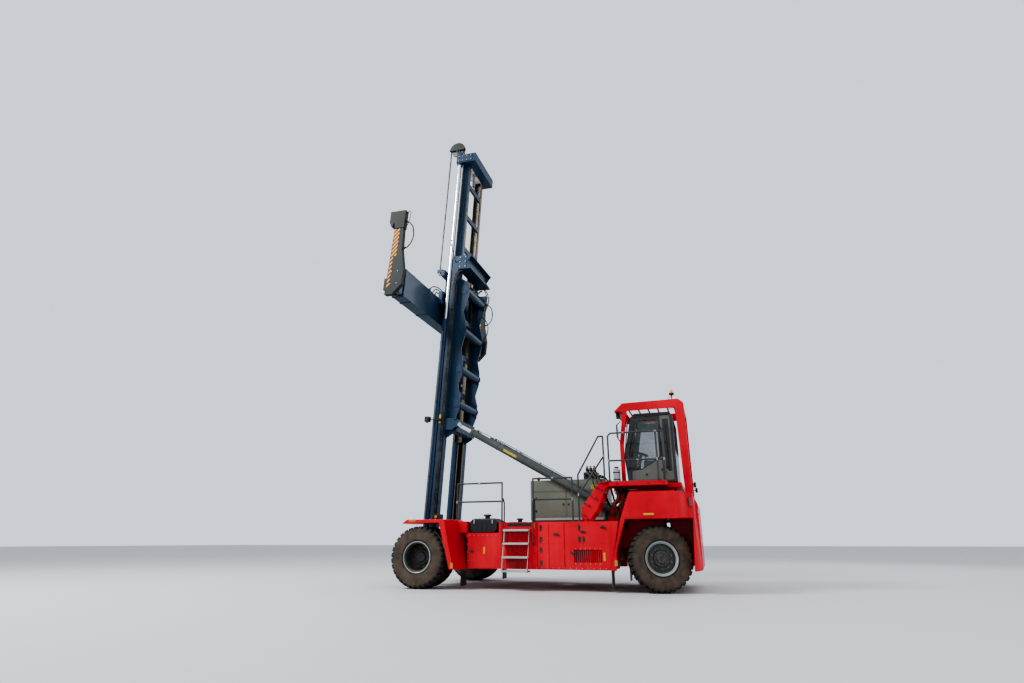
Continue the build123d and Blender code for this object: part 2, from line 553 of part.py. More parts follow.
with BuildPart() as cab_shell:
    side_slab(CAB_OUTLINE, (-CAB_Y, CAB_Y))
    side_slab(CAB_INSIDE, (-CAB_Y + CAB_WALL, CAB_Y - CAB_WALL), mode=Mode.SUBTRACT)
    side_slab(DOOR_HOLE, (CAB_Y - CAB_WALL - 5, CAB_Y + 5), mode=Mode.SUBTRACT)
    side_slab(SIDE_WINDOW, (-CAB_Y - 5, -CAB_Y + CAB_WALL + 5), mode=Mode.SUBTRACT)
    block((CAB_FRONT - 220, CAB_FRONT + 100), (-CAB_Y + 60, CAB_Y - 60), SCREEN_Z, mode=Mode.SUBTRACT)
    block((CAB_FRONT - 90, CAB_FRONT + 100), (-CAB_Y + 120, CAB_Y - 120), LOWER_Z, mode=Mode.SUBTRACT)
    block((CAB_BACK - 10, CAB_BACK + 60), (-CAB_Y + 90, CAB_Y - 90), BACK_Z, mode=Mode.SUBTRACT)
    block(HATCH_X, (-CAB_Y + 130, CAB_Y - 130), (CAB_HIGH - 70, CAB_HIGH + 10), mode=Mode.SUBTRACT)
save("cab_shell", cab_shell.part)

# Cab glass: windscreen, lower pane, right window, back window and roof window, each in its opening
GLASS_T = 6


def screen_pane(z, half_y):
    """A pane that leans with the cab's front between two heights, set in from the face."""
    foot, head = z[0] + SEAT_GAP, z[1] - SEAT_GAP
    if z[1] > WAIST[1]:
        lean = (CAB_OUTLINE[2][0] - WAIST[0]) / (CAB_OUTLINE[2][1] - WAIST[1])
    else:
        lean = (WAIST[0] - CAB_OUTLINE[0][0]) / (WAIST[1] - CAB_OUTLINE[0][1])
    foot_x = WAIST[0] - 25 + (foot - WAIST[1]) * lean
    head_x = WAIST[0] - 25 + (head - WAIST[1]) * lean
    side_slab(((foot_x, foot), (head_x, head), (head_x - GLASS_T, head), (foot_x - GLASS_T, foot)),
              (-half_y + SEAT_GAP, half_y - SEAT_GAP))


with BuildPart() as cab_glass:
    screen_pane(SCREEN_Z, CAB_Y - 60)
    screen_pane(LOWER_Z, CAB_Y - 120)
    side_slab(SIDE_WINDOW, (-CAB_Y + 15, -CAB_Y + 15 + GLASS_T), inset=SEAT_GAP)
    block((CAB_BACK + 20, CAB_BACK + 20 + GLASS_T), (-CAB_Y + 90 + SEAT_GAP, CAB_Y - 90 - SEAT_GAP),
          (BACK_Z[0] + SEAT_GAP, BACK_Z[1] - SEAT_GAP))
    block((HATCH_X[0] + SEAT_GAP, HATCH_X[1] - SEAT_GAP), (-CAB_Y + 130 + SEAT_GAP, CAB_Y - 130 - SEAT_GAP),
          (CAB_HIGH - 40, CAB_HIGH - 40 + GLASS_T))
save("cab_glass", cab_glass.part)

# Cab door: a framed leaf on the left, hinged at its rear edge on the fixed side post
DOOR_OUTLINE = (*DOOR_FRONT, (HINGE_X, DOOR_TOP), (HINGE_X, DOOR_LOW))
PANE = ((-4930, 2780), (-4885, 2960), (-5040, 3800), (-5075, 3840), (-5540, 3840), (-5540, 2940), (-5100, 2660),
        (-4960, 2660))
DOOR_IN = CAB_Y - 40
DOOR_OUT = CAB_Y - 2
HINGES_Z = (2600, 3600)
KNUCKLE_R = 11
with BuildPart() as cab_door:
    side_slab(DOOR_OUTLINE, (DOOR_IN, DOOR_OUT), inset=RUN_GAP)
    side_slab(PANE, (DOOR_IN - 10, DOOR_OUT + 5), mode=Mode.SUBTRACT)
    block((-4875, -4850), (DOOR_OUT - 2, DOOR_OUT + 40), (3000, 3160))
    for z in HINGES_Z:
        bar((HINGE_X, HINGE_Y, z), (HINGE_X, HINGE_Y, z + 60), KNUCKLE_R)
        block((HINGE_X, HINGE_X + 60), (DOOR_OUT - 2, HINGE_Y + 6), (z, z + 60))
save("cab_door", cab_door.part)
with BuildPart() as door_glass:
    side_slab(PANE, (DOOR_OUT - 22, DOOR_OUT - 22 + GLASS_T), inset=SEAT_GAP)
save("door_glass", door_glass.part)

# Cab side post: the fixed grey panel behind the door, which carries the lower hinge knuckles
POST_OUTLINE = ((HINGE_X, DOOR_LOW), (HINGE_X, DOOR_TOP), (-5830, DOOR_TOP), (-5830, DOOR_LOW))
with BuildPart() as cab_post:
    side_slab(POST_OUTLINE, (DOOR_IN, DOOR_OUT), inset=SEAT_GAP)
    for z in HINGES_Z:
        bar((HINGE_X, HINGE_Y, z - 60), (HINGE_X, HINGE_Y, z - PIN_GAP), KNUCKLE_R)
        block((HINGE_X - 60, HINGE_X), (DOOR_OUT - 2, HINGE_Y + 6), (z - 60, z - PIN_GAP))
save("cab_post", cab_post.part)

# Seat on its suspension box, with the steering column, the lever console and the dash
SEAT_Z = FLOOR_Z + 350
with BuildPart() as seat:
    block((-5560, -5080), (-250, 250), (SEAT_Z, SEAT_Z + 120))
    side_slab(((-5560, SEAT_Z + 100), (-5440, SEAT_Z + 100), (-5560, SEAT_Z + 720), (-5660, SEAT_Z + 720)),
              (-240, 240))
    side_slab(((-5585, SEAT_Z + 720), (-5575, SEAT_Z + 720), (-5600, SEAT_Z + 900), (-5680, SEAT_Z + 900),
               (-5660, SEAT_Z + 720)), (-130, 130))
save("seat", seat.part)
with BuildPart() as console:
    block((-5500, -5120), (-200, 200), (FLOOR_Z + SEAT_GAP, SEAT_Z - SEAT_GAP))
    block((-5480, -5050), (-420, -300), (FLOOR_Z + SEAT_GAP, FLOOR_Z + 580))
    block((-5480, -5400), (-301, -199), (FLOOR_Z + SEAT_GAP, FLOOR_Z + 60))
    block((-4960, -4840), (0, 120), (FLOOR_Z + SEAT_GAP, FLOOR_Z + 60))
    bar((-4900, 60, FLOOR_Z + 30), (-5030, 60, FLOOR_Z + 700), 35)
    with Locations(Plane(origin=(-5035, 60, FLOOR_Z + 710), z_dir=(-0.35, 0, 1))):
        Torus(175, 16)
        Box(340, 30, 14)
    block((-4880, -4800), (-600, 600), (2700, 2890))
    block((-4900, -4840), (20, 100), (FLOOR_Z + 40, 2710))
save("cab_console", console.part)

# Railings: round the platform, up the stairs and along the body deck
RAIL_R = 19
RAIL_Y = PLATFORM_Y - 25
PLATFORM_FOOT = PLATFORM_Z + SEAT_GAP
DECK_FOOT = BODY_TOP + SEAT_GAP
STAIR_RAIL_Y = STAIR_Y[1] + 22
with BuildPart() as railings:
    railing(((-4445, RAIL_Y, PLATFORM_FOOT), (-4445, RAIL_Y, 3350), (-4505, RAIL_Y, 3410), (-5680, RAIL_Y, 3410),
             (-5680, RAIL_Y, PLATFORM_FOOT)), RAIL_R)
    railing(((-4445, RAIL_Y, 2780), (-5680, RAIL_Y, 2780)), RAIL_R)
    railing(((-5530, RAIL_Y, PLATFORM_FOOT), (-5530, RAIL_Y, 3410)), RAIL_R)
    railing(((-3700, STAIR_RAIL_Y, DECK_FOOT), (-3700, STAIR_RAIL_Y, 2500), (-4210, STAIR_RAIL_Y, 3360),
             (-4320, STAIR_RAIL_Y, 3360), (-4320, STAIR_RAIL_Y, LANDING_Z + 10 + SEAT_GAP)), RAIL_R)
    railing(((-3700, STAIR_RAIL_Y, 2050), (-4320, STAIR_RAIL_Y, 2900)), RAIL_R)
    railing(((-2620, 1560, DECK_FOOT), (-2620, 1560, 2440), (-3560, 1560, 2440), (-3560, 1560, DECK_FOOT)), RAIL_R)
    railing(((-2620, 1560, 1960), (-3560, 1560, 1960)), RAIL_R)
    railing(((-690, 1560, FENDER_TOP + SEAT_GAP), (-690, 1560, 2370), (-1850, 1560, 2370),
             (-1850, 1560, DECK_FOOT)), RAIL_R)
    railing(((-690, 1560, 1940), (-1850, 1560, 1940)), RAIL_R)
save("railings", railings.part)

# Hydraulics: pump motor under the cab, and a valve block on the battery box
MOTOR_FOOT = 1250 + SEAT_GAP
with BuildPart() as hydraulics:
    block((-4450, -4220), (-360, 360), (MOTOR_FOOT, 1600))
    bar((-4540, -260, 1760), (-4540, 260, 1760), 170)
    block((-4645, -4300), (-300, 300), (1580, 1640))
save("drive_motor", hydraulics.part)
with BuildPart() as valves:
    block((-3980, -3640), (250, 560), (BATTERY_Z[1] + SEAT_GAP, 2660))
    for x in (-3900, -3810, -3720):
        bar((x, 480, 2650), (x, 480, 2820), 26)
        bar((x, 340, 2650), (x, 340, 2780), 20)
save("valve_block", valves.part)

# Lamps: one on each rear corner, a beacon on the cab guard and a box on the left fender
LAMP_RUN = Vector(CORNER[1][0] - CORNER[0][0], CORNER[1][1] - CORNER[0][1], 0)
LAMP_OUT = Vector(LAMP_RUN.Y, -LAMP_RUN.X, 0).normalized()
LAMP_AT = Vector(CORNER[0][0] + CORNER[1][0], CORNER[0][1] + CORNER[1][1], 0) / 2
ROOF_BACK = ROOF_OUTLINE[2]
ROOF_RISE = (ROOF_BACK[1] - ROOF_OUTLINE[1][1]) / (ROOF_BACK[0] - ROOF_OUTLINE[1][0])
BEACON_IN = 70
BEACON_X = ROOF_BACK[0] + BEACON_IN
BEACON_FOOT = ROOF_BACK[1] + BEACON_IN * ROOF_RISE + 2 * SEAT_GAP
VISOR = ROOF_OUTLINE[0]
with BuildPart() as body_lamps:
    for _, sign in SIDES:
        seat_at = LAMP_AT + LAMP_OUT * SEAT_GAP
        with Locations(Plane(origin=(seat_at.X, sign * seat_at.Y, 1830), x_dir=(0, 0, 1),
                             z_dir=(LAMP_OUT.X, sign * LAMP_OUT.Y, 0))):
            Box(180, 110, 35, align=(Align.CENTER, Align.CENTER, Align.MIN))
    bar((BEACON_X, -500, BEACON_FOOT), (BEACON_X, -500, BEACON_FOOT + 95), 12)
    bar((BEACON_X, -500, BEACON_FOOT + 75), (BEACON_X, -500, BEACON_FOOT + 175), 62)
    for _, sign in SIDES:
        block((VISOR[0] - 110, VISOR[0] - 30), y_pair(500, 620, sign), (VISOR[1] - 115, VISOR[1] - 12))
        block((VISOR[0] - 85, VISOR[0] - 55), y_pair(540, 580, sign), (VISOR[1] - 15, VISOR[1] - SEAT_GAP))
        cross_bar(PILLAR_BACK_X - 40, 2260, 10, y_pair(GUARD_Y - 120, GUARD_Y - 60, sign))
        bar((PILLAR_BACK_X - SEAT_GAP, sign * (GUARD_Y - 90), 2260),
            (PILLAR_BACK_X - 50, sign * (GUARD_Y - 90), 2260), 10)
        block((PILLAR_BACK_X - 98, PILLAR_BACK_X - 38), y_pair(GUARD_Y - 145, GUARD_Y - 35, sign), (2205, 2315))
    block((-330, -130), (1560, 1760), (FENDER_TOP + SEAT_GAP, 1650))
save("body_lamps", body_lamps.part)

# Outer mast: channel uprights open inwards, joined behind by a head beam, tubes and side plates
TUBES = ((6990, 130, -30), (5720, 105, -60), (4560, 105, -60), (3560, 105, -60))
EYE_RUN = Vector(MAST_EYE[0] - PIVOT_X, MAST_EYE[1] - PIVOT_Z, 0).rotate(Axis.Z, -TILT_BACK)
EYE_X = EYE_RUN.X
EYE_Z = EYE_RUN.Y
EYE_PLATES = ((TILT_Y - 72, TILT_Y - 56), (TILT_Y + 56, TILT_Y + 72))
SLOT_X = (SHEAVE_X - SHEAVE_R - CHAIN_T - 11, SHEAVE_X - SHEAVE_R + 9)
SLOT_Y = (BARREL_Y - CHAIN_HALF - 10, BARREL_Y + CHAIN_HALF + 10)
with BuildPart() as outer_mast:
    for _, sign in SIDES:
        block((OUT_BACK, OUT_FRONT), y_pair(OUT_IN_Y, OUT_OUT_Y, sign), (MAST_LOW, OUTER_TOP))
        block((OUT_BACK + FLANGE, OUT_FRONT - FLANGE), y_pair(OUT_IN_Y - 5, OUT_OUT_Y - FLANGE, sign),
              (MAST_LOW - 5, OUTER_TOP - 30), mode=Mode.SUBTRACT)
        lug = y_pair(650, 750, sign)
        side_slab(((0, -90), (OUT_BACK + 5, -260), (OUT_BACK + 5, 260), (0, 90)), lug)
        cross_bar(0, 0, 90, lug)
        cross_bar(0, 0, PIVOT_R + PIN_GAP, y_pair(640, 760, sign), mode=Mode.SUBTRACT)
        side_slab(((OUT_BACK + 2, 2600), (-60, 2750), (-60, 3150), (-150, 3400), (-150, 3750), (-60, 4060),
                   (-150, 4400), (-150, 4750), (-60, 5150), (-150, 5550), (-150, 5900), (-40, 6300),
                   (-170, 6800), (-170, 7200), (OUT_BACK + 2, 7400)), y_pair(620, 655, sign))
        block((OUT_FRONT - 5, BARREL_X + 60), y_pair(610, 790, sign), (MAST_LOW, MAST_LOW + 75))
        block((OUT_FRONT - 5, BARREL_X + 20), y_pair(610, 790, sign), (BARREL_TOP - 160, BARREL_TOP - 60))
        bar((BARREL_X, sign * BARREL_Y, BARREL_TOP - 200), (BARREL_X, sign * BARREL_Y, BARREL_TOP),
            BARREL_R + SEAT_GAP, mode=Mode.SUBTRACT)
        block(SLOT_X, y_pair(*SLOT_Y, sign), (OUTER_TOP - 5, ANCHOR_TOP))
    for z, radius, x in TUBES:
        cross_bar(x, z, radius, (-640, 640))
    block((-90, OUT_BACK + 2), (-820, 820), (OUTER_TOP - 450, OUTER_TOP))
    for _, sign in SIDES:
        side_slab(((-100, OUTER_TOP - 450), (-250, OUTER_TOP - 450), (-100, OUTER_TOP - 225), (-250, OUTER_TOP),
                   (-60, OUTER_TOP), (-60, OUTER_TOP - 450)), y_pair(790, 820, sign))
        for plate in EYE_PLATES:
            side_slab(((0, EYE_Z - 150), (EYE_X, EYE_Z - 75), (EYE_X, EYE_Z + 75), (0, EYE_Z + 150)),
                      y_pair(*plate, sign))
            cross_bar(EYE_X, EYE_Z, 75, y_pair(*plate, sign))
        block((-60, OUT_BACK + 2), y_pair(EYE_PLATES[0][0], EYE_PLATES[1][1], sign), (EYE_Z - 160, EYE_Z + 160))
        cross_bar(EYE_X, EYE_Z, MAST_PIN_R, y_pair(EYE_PLATES[0][0], EYE_PLATES[1][1], sign))
    block((-120, OUT_BACK + 2), (-640, 640), (2780, 3120))
    block((OUT_BACK - 80, OUT_BACK + 2), (-640, 640), (MAST_LOW, MAST_LOW + 80))
save("outer_mast", outer_mast.part, MAST)

# Mast lamps: a work lamp on a bar from a foot plate on each outer upright, behind the beam's path
LAMP_Z = 3070
FOOT_Y = OUT_OUT_Y + SEAT_GAP
with BuildPart() as mast_lamps:
    for _, sign in SIDES:
        block((OUT_FRONT - 80, OUT_FRONT - 5), y_pair(FOOT_Y, FOOT_Y + 12, sign), (LAMP_Z - 40, LAMP_Z + 40))
        bar((OUT_FRONT - 42, sign * (FOOT_Y + 8), LAMP_Z), (OUT_FRONT - 42, sign * (FOOT_Y + 76), LAMP_Z), 15)
        bar((OUT_FRONT - 42, sign * (FOOT_Y + 60), LAMP_Z), (BEAM_BACK - 130, sign * (FOOT_Y + 60), LAMP_Z), 12)
        block((BEAM_BACK - 145, BEAM_BACK - 20), y_pair(OUT_OUT_Y + 30, OUT_OUT_Y + 150, sign),
              (LAMP_Z - 70, LAMP_Z + 70))
save("mast_lamps", mast_lamps.part, MAST)

# Lift cylinders: two barrels in front of the outer uprights, and rods that carry the inner mast
with BuildPart() as lift_barrels:
    for _, sign in SIDES:
        y = sign * BARREL_Y
        bar((BARREL_X, y, MAST_LOW + 75), (BARREL_X, y, BARREL_TOP), BARREL_R)
        bar((BARREL_X, y, MAST_LOW + 125), (BARREL_X, y, BARREL_TOP - 80), BARREL_R - 20, mode=Mode.SUBTRACT)
        bar((BARREL_X, y, BARREL_TOP - 100), (BARREL_X, y, BARREL_TOP + 1), ROD_R + PIN_GAP, mode=Mode.SUBTRACT)
save("lift_barrels", lift_barrels.part, MAST)

ROD_FOOT = MAST_LOW + 135 + LIFT_REST
HEAD_LOW = OUTER_TOP + 60 + LIFT_REST
HEAD_TOP = HEAD_LOW + 300
with BuildPart() as lift_rods:
    for _, sign in SIDES:
        bar((BARREL_X, sign * BARREL_Y, ROD_FOOT), (BARREL_X, sign * BARREL_Y, HEAD_LOW - SEAT_GAP), ROD_R)
save("lift_rods", lift_rods.part, MAST)

# Inner mast: nested channel uprights, a head box that the rods push, rungs and guide rollers
INNER_LOW = MAST_LOW + 60 + LIFT_REST
RUNGS = 7
RUNG_STEP = 1120
RUNG_HALF = IN_IN_Y + 1
OUT_ROLLER_X = (OUT_BACK + OUT_FRONT) / 2
OUT_ROLLER_R = (OUT_FRONT - OUT_BACK) / 2 - FLANGE - RUN_GAP
with BuildPart() as inner_mast:
    for _, sign in SIDES:
        block((IN_BACK, IN_FRONT), y_pair(IN_IN_Y, IN_OUT_Y, sign), (INNER_LOW, HEAD_TOP))
        block((IN_BACK + FLANGE, IN_FRONT - FLANGE), y_pair(IN_IN_Y - 5, IN_OUT_Y - FLANGE, sign),
              (INNER_LOW - 5, HEAD_LOW), mode=Mode.SUBTRACT)
        block((0, BARREL_X + 90), y_pair(IN_OUT_Y - 40, 800, sign), (HEAD_LOW, HEAD_TOP))
        block(SLOT_X, y_pair(*SLOT_Y, sign), (HEAD_LOW - 5, HEAD_TOP + 5), mode=Mode.SUBTRACT)
        for z in (INNER_LOW + 150, INNER_LOW + 1350):
            cross_bar(OUT_ROLLER_X, z, OUT_ROLLER_R, y_pair(IN_OUT_Y - 5, OUT_OUT_Y - FLANGE - RUN_GAP, sign))
    block((-80, 200), (-800, 800), (HEAD_LOW, HEAD_TOP))
    for step in range(RUNGS):
        z = HEAD_LOW - 700 - step * RUNG_STEP
        block((IN_BACK + 2, IN_BACK + 72), (-RUNG_HALF, RUNG_HALF), (z - 75, z + 75))
save("inner_mast", inner_mast.part, MAST)

# Chain sheaves on brackets above the inner mast's head, each with the chain laid over its top half
# and a half-moon guard outside it
SHEAVE_Z = HEAD_TOP + SHEAVE_R + 20
GUARD_R = SHEAVE_R + CHAIN_T + 18
GUARD_WALL = 8
with BuildPart() as sheaves:
    for _, sign in SIDES:
        guard_out = BARREL_Y + 75
        cross_bar(SHEAVE_X, SHEAVE_Z, GUARD_R, y_pair(BARREL_Y - 30, guard_out, sign))
        cross_bar(SHEAVE_X, SHEAVE_Z, GUARD_R - GUARD_WALL, y_pair(BARREL_Y - 31, guard_out - GUARD_WALL, sign),
                  mode=Mode.SUBTRACT)
        block((SHEAVE_X - GUARD_R - 1, SHEAVE_X + GUARD_R + 1), y_pair(BARREL_Y - 31, guard_out + 1, sign),
              (SHEAVE_Z - GUARD_R - 1, SHEAVE_Z - 20), mode=Mode.SUBTRACT)
        cross_bar(SHEAVE_X, SHEAVE_Z, SHEAVE_R + CHAIN_T, y_pair(BARREL_Y - CHAIN_HALF, BARREL_Y + CHAIN_HALF, sign))
        block((SHEAVE_X - GUARD_R, SHEAVE_X + GUARD_R), y_pair(BARREL_Y - 32, BARREL_Y + CHAIN_HALF + 1, sign),
              (SHEAVE_Z - GUARD_R, SHEAVE_Z), mode=Mode.SUBTRACT)
        cross_bar(SHEAVE_X, SHEAVE_Z, SHEAVE_R, y_pair(BARREL_Y - 30, BARREL_Y + 30, sign))
        cross_bar(SHEAVE_X, SHEAVE_Z, 60, y_pair(BARREL_Y - 60, guard_out, sign))
        for low, high in ((-60, -44), (44, 60)):
            side_slab(((BARREL_X - 60, HEAD_TOP + SEAT_GAP), (BARREL_X + 85, HEAD_TOP + SEAT_GAP),
                       (SHEAVE_X + 70, SHEAVE_Z), (SHEAVE_X, SHEAVE_Z + 60), (SHEAVE_X - 70, SHEAVE_Z)),
                      y_pair(BARREL_Y + low, BARREL_Y + high, sign))
save("sheaves", sheaves.part, MAST)

# Lift chains: a flat chain on each side of each sheave, to the carriage in front and the outer mast behind
CHAIN_Y = (BARREL_Y - CHAIN_HALF, BARREL_Y + CHAIN_HALF)
with BuildPart() as chains_front:
    for _, sign in SIDES:
        x = SHEAVE_X + SHEAVE_R + SEAT_GAP
        block((x, x + CHAIN_T), y_pair(*CHAIN_Y, sign), (ANCHOR_Z, SHEAVE_Z - SEAT_GAP))
save("chains_front", chains_front.part, MAST)
with BuildPart() as chains_rear:
    for _, sign in SIDES:
        x = SHEAVE_X - SHEAVE_R - SEAT_GAP
        block((x - CHAIN_T, x), y_pair(*CHAIN_Y, sign), (ANCHOR_TOP + SEAT_GAP, SHEAVE_Z - SEAT_GAP))
save("chains_rear", chains_rear.part, MAST)

# Carriage: side plates with rollers inside the inner mast, and a frame that reaches past the cylinders
CARRIAGE_LOW = 5850
CARRIAGE_TOP = 7650
IN_ROLLER_X = (IN_BACK + IN_FRONT) / 2
IN_ROLLER_R = (IN_FRONT - IN_BACK) / 2 - FLANGE - RUN_GAP
CARRIAGE_FRONT = BEAM_BACK - SEAT_GAP
with BuildPart() as carriage:
    for _, sign in SIDES:
        block((IN_BACK + 80, CARRIAGE_FRONT), y_pair(360, 420, sign), (CARRIAGE_LOW, CARRIAGE_TOP))
        for z in (CARRIAGE_LOW + 160, CARRIAGE_TOP - 160):
            cross_bar(IN_ROLLER_X, z, IN_ROLLER_R, y_pair(RUNG_HALF + RUN_GAP, IN_OUT_Y - FLANGE - RUN_GAP, sign))
            cross_bar(IN_ROLLER_X, z, 40, y_pair(410, IN_IN_Y + 20, sign))
        block((620, CARRIAGE_FRONT), y_pair(380, 780, sign), (CARRIAGE_TOP - 190, CARRIAGE_TOP))
        block((CARRIAGE_FRONT - 20, 900), y_pair(660, 740, sign), (CARRIAGE_TOP - 60, ANCHOR_Z - SEAT_GAP))
    for low, high in ((CARRIAGE_LOW, CARRIAGE_LOW + 200), (6500, 6700), (CARRIAGE_TOP - 200, CARRIAGE_TOP)):
        block((560, CARRIAGE_FRONT), (-360, 360), (low, high))
    block((620, CARRIAGE_FRONT), (-800, 800), (BEAM_TOP - 200, BEAM_TOP + 200))
save("carriage", carriage.part, MAST)

# Spreader beam: a box beam across the front of the carriage, open at both ends for the arms
BEAM_FLOOR = BEAM_LOW + BEAM_WALL
BEAM_ROOF = BEAM_TOP - BEAM_WALL
SHIFT_X = BEAM_BACK + 150
SHIFT_Z = BEAM_TOP + 75
SHIFT_HALF = 1150
with BuildPart() as spreader_beam:
    block((BEAM_BACK, BEAM_FRONT), (-BEAM_HALF, BEAM_HALF), (BEAM_LOW, BEAM_TOP))
    block((BEAM_BACK + BEAM_WALL, BEAM_FRONT - BEAM_WALL), (-BEAM_HALF - 5, BEAM_HALF + 5), (BEAM_FLOOR, BEAM_ROOF),
          mode=Mode.SUBTRACT)
    for _, sign in SIDES:
        block((BEAM_BACK + 5, BEAM_FRONT - 5), y_pair(BEAM_HALF - 220, BEAM_HALF - 20, sign),
              (BEAM_FLOOR - 5, BEAM_FLOOR + ARM_GAP - SEAT_GAP))
    cross_bar(SHIFT_X, SHIFT_Z, 48, (-SHIFT_HALF, 250))
    cross_bar(SHIFT_X, SHIFT_Z, 28, (250, SHIFT_HALF))
    for y in (-SHIFT_HALF - 40, 200, SHIFT_HALF):
        block((SHIFT_X - 70, SHIFT_X + 70), (y, y + 50), (BEAM_TOP - 5, SHIFT_Z + 60))
save("spreader_beam", spreader_beam.part, MAST)

# Telescopic arms, one in front of the other inside the beam, each with an end post
ARM_LANES = {"left": BEAM_BACK + BEAM_WALL + ARM_GAP, "right": BEAM_FRONT - BEAM_WALL - ARM_GAP - ARM_T}
POST_HALF = POST_W / 2
for side, sign in SIDES:
    lane = ARM_LANES[side]
    with BuildPart() as arm:
        block((lane, lane + ARM_T), y_pair(POST_Y - ARM_LEN, POST_Y - POST_HALF - SEAT_GAP, sign),
              (BEAM_FLOOR + ARM_GAP, BEAM_ROOF - ARM_GAP))
    save(f"arm_{side}", arm.part, MAST)
    with BuildPart() as end_post:
        side_slab(((900, POST_LOW), (660, POST_LOW + 270), (640, POST_LOW + 700), (760, POST_LOW + 1300),
                   (790, POST_TOP), (1050, POST_TOP), (1120, POST_LOW)),
                  y_pair(POST_Y - POST_HALF, POST_Y + POST_HALF, sign))
        side_slab(((770, POST_TOP - 5), (770, POST_TOP + 520), (1230, POST_TOP + 520), (1230, POST_TOP + 180),
                   (1130, POST_TOP + 40), (1080, POST_TOP + 180), (1050, POST_TOP - 5)),
                  y_pair(POST_Y - POST_HALF - 15, POST_Y + POST_HALF + 15, sign))
        block((1090, 1190), y_pair(POST_Y - 40, POST_Y + 40, sign), (POST_LOW + 150, POST_LOW + 480))
    save(f"end_post_{side}", end_post.part, MAST)

# Tilt cylinders: barrels hinged on the frame, and rods whose eyes meet the mast's pins
RUN_X = MAST_EYE[0] - CHASSIS_EYE[0]
RUN_Z = MAST_EYE[1] - CHASSIS_EYE[1]
RUN_LEN = math.hypot(RUN_X, RUN_Z)
UX = RUN_X / RUN_LEN
UZ = RUN_Z / RUN_LEN
BARREL_END = RUN_LEN - 480
TILT_ROD_R = 50


def along(distance):
    """The X and Z of a point on the tilt cylinder's axis, from its chassis eye."""
    return (CHASSIS_EYE[0] + UX * distance, CHASSIS_EYE[1] + UZ * distance)


def tilt_bar(near, far, radius, y, mode=Mode.ADD):
    """A round bar on the tilt cylinder's axis between two distances from its chassis eye."""
    start = along(near)
    end = along(far)
    bar((start[0], y, start[1]), (end[0], y, end[1]), radius, mode)


for side, sign in SIDES:
    y = sign * TILT_Y
    with BuildPart() as tilt_barrel:
        tilt_bar(60, BARREL_END, TILT_BARREL_R, y)
        cross_bar(*CHASSIS_EYE, TILT_PIN_R + 40, y_pair(TILT_Y - 45, TILT_Y + 45, sign))
        tilt_bar(900, BARREL_END - 120, TILT_BARREL_R - 16, y, Mode.SUBTRACT)
        tilt_bar(BARREL_END - 130, BARREL_END + 1, TILT_ROD_R + PIN_GAP, y, Mode.SUBTRACT)
        cross_bar(*CHASSIS_EYE, TILT_PIN_R + PIN_GAP, y_pair(TILT_Y - 60, TILT_Y + 60, sign), mode=Mode.SUBTRACT)
    save(f"tilt_barrel_{side}", tilt_barrel.part)
    with BuildPart() as tilt_rod:
        tilt_bar(BARREL_END - 900, RUN_LEN - 50, TILT_ROD_R, y)
        cross_bar(*MAST_EYE, MAST_PIN_R + 30, y_pair(TILT_Y - 34, TILT_Y + 34, sign))
        cross_bar(*MAST_EYE, MAST_PIN_R + EYE_GAP, y_pair(TILT_Y - 60, TILT_Y + 60, sign), mode=Mode.SUBTRACT)
    save(f"tilt_rod_{side}", tilt_rod.part)
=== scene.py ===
import itertools
import json
import math

import bmesh
import bpy
from mathutils import Matrix, Vector

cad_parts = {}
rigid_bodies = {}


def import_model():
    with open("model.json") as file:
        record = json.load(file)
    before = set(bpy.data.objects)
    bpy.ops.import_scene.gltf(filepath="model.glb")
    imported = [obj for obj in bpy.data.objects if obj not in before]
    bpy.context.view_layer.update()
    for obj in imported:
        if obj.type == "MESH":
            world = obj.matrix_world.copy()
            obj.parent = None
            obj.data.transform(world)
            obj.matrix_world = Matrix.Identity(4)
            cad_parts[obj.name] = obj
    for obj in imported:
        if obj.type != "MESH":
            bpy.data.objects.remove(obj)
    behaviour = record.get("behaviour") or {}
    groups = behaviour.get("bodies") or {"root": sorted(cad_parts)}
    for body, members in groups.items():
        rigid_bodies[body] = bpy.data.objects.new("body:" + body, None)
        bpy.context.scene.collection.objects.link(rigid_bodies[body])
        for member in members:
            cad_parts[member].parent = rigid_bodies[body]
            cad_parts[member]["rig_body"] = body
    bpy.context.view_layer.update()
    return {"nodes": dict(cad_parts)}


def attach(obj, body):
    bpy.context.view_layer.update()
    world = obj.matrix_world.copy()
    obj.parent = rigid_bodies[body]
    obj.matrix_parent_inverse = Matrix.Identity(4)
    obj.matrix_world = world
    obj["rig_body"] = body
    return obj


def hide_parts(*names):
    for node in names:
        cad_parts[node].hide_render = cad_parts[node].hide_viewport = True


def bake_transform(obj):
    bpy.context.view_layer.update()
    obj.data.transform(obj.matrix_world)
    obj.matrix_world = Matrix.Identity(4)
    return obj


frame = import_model()
nodes = frame["nodes"]

# The viewpoint: a person standing on the yard's ground beside the machine, who looks up at the mast
# with a wide lens. The lens, the place and the slope are those the photograph was taken with.
EYE = Vector((-3.826, 14.82, 1.03))
HEADING = Vector((0.316, -0.949, 0)).normalized()
LOOK_UP = 19.39
camera_data = bpy.data.cameras.new("yard_camera")
camera_data.lens = 20.0
camera_data.sensor_width = 36.0
camera_data.clip_end = 500
camera = bpy.data.objects.new("yard_camera", camera_data)
camera.location = EYE
look = HEADING * math.cos(math.radians(LOOK_UP)) + Vector((0, 0, math.sin(math.radians(LOOK_UP))))
camera.rotation_euler = look.to_track_quat("-Z", "Y").to_euler()
bpy.context.scene.collection.objects.link(camera)
bpy.context.scene.camera = camera

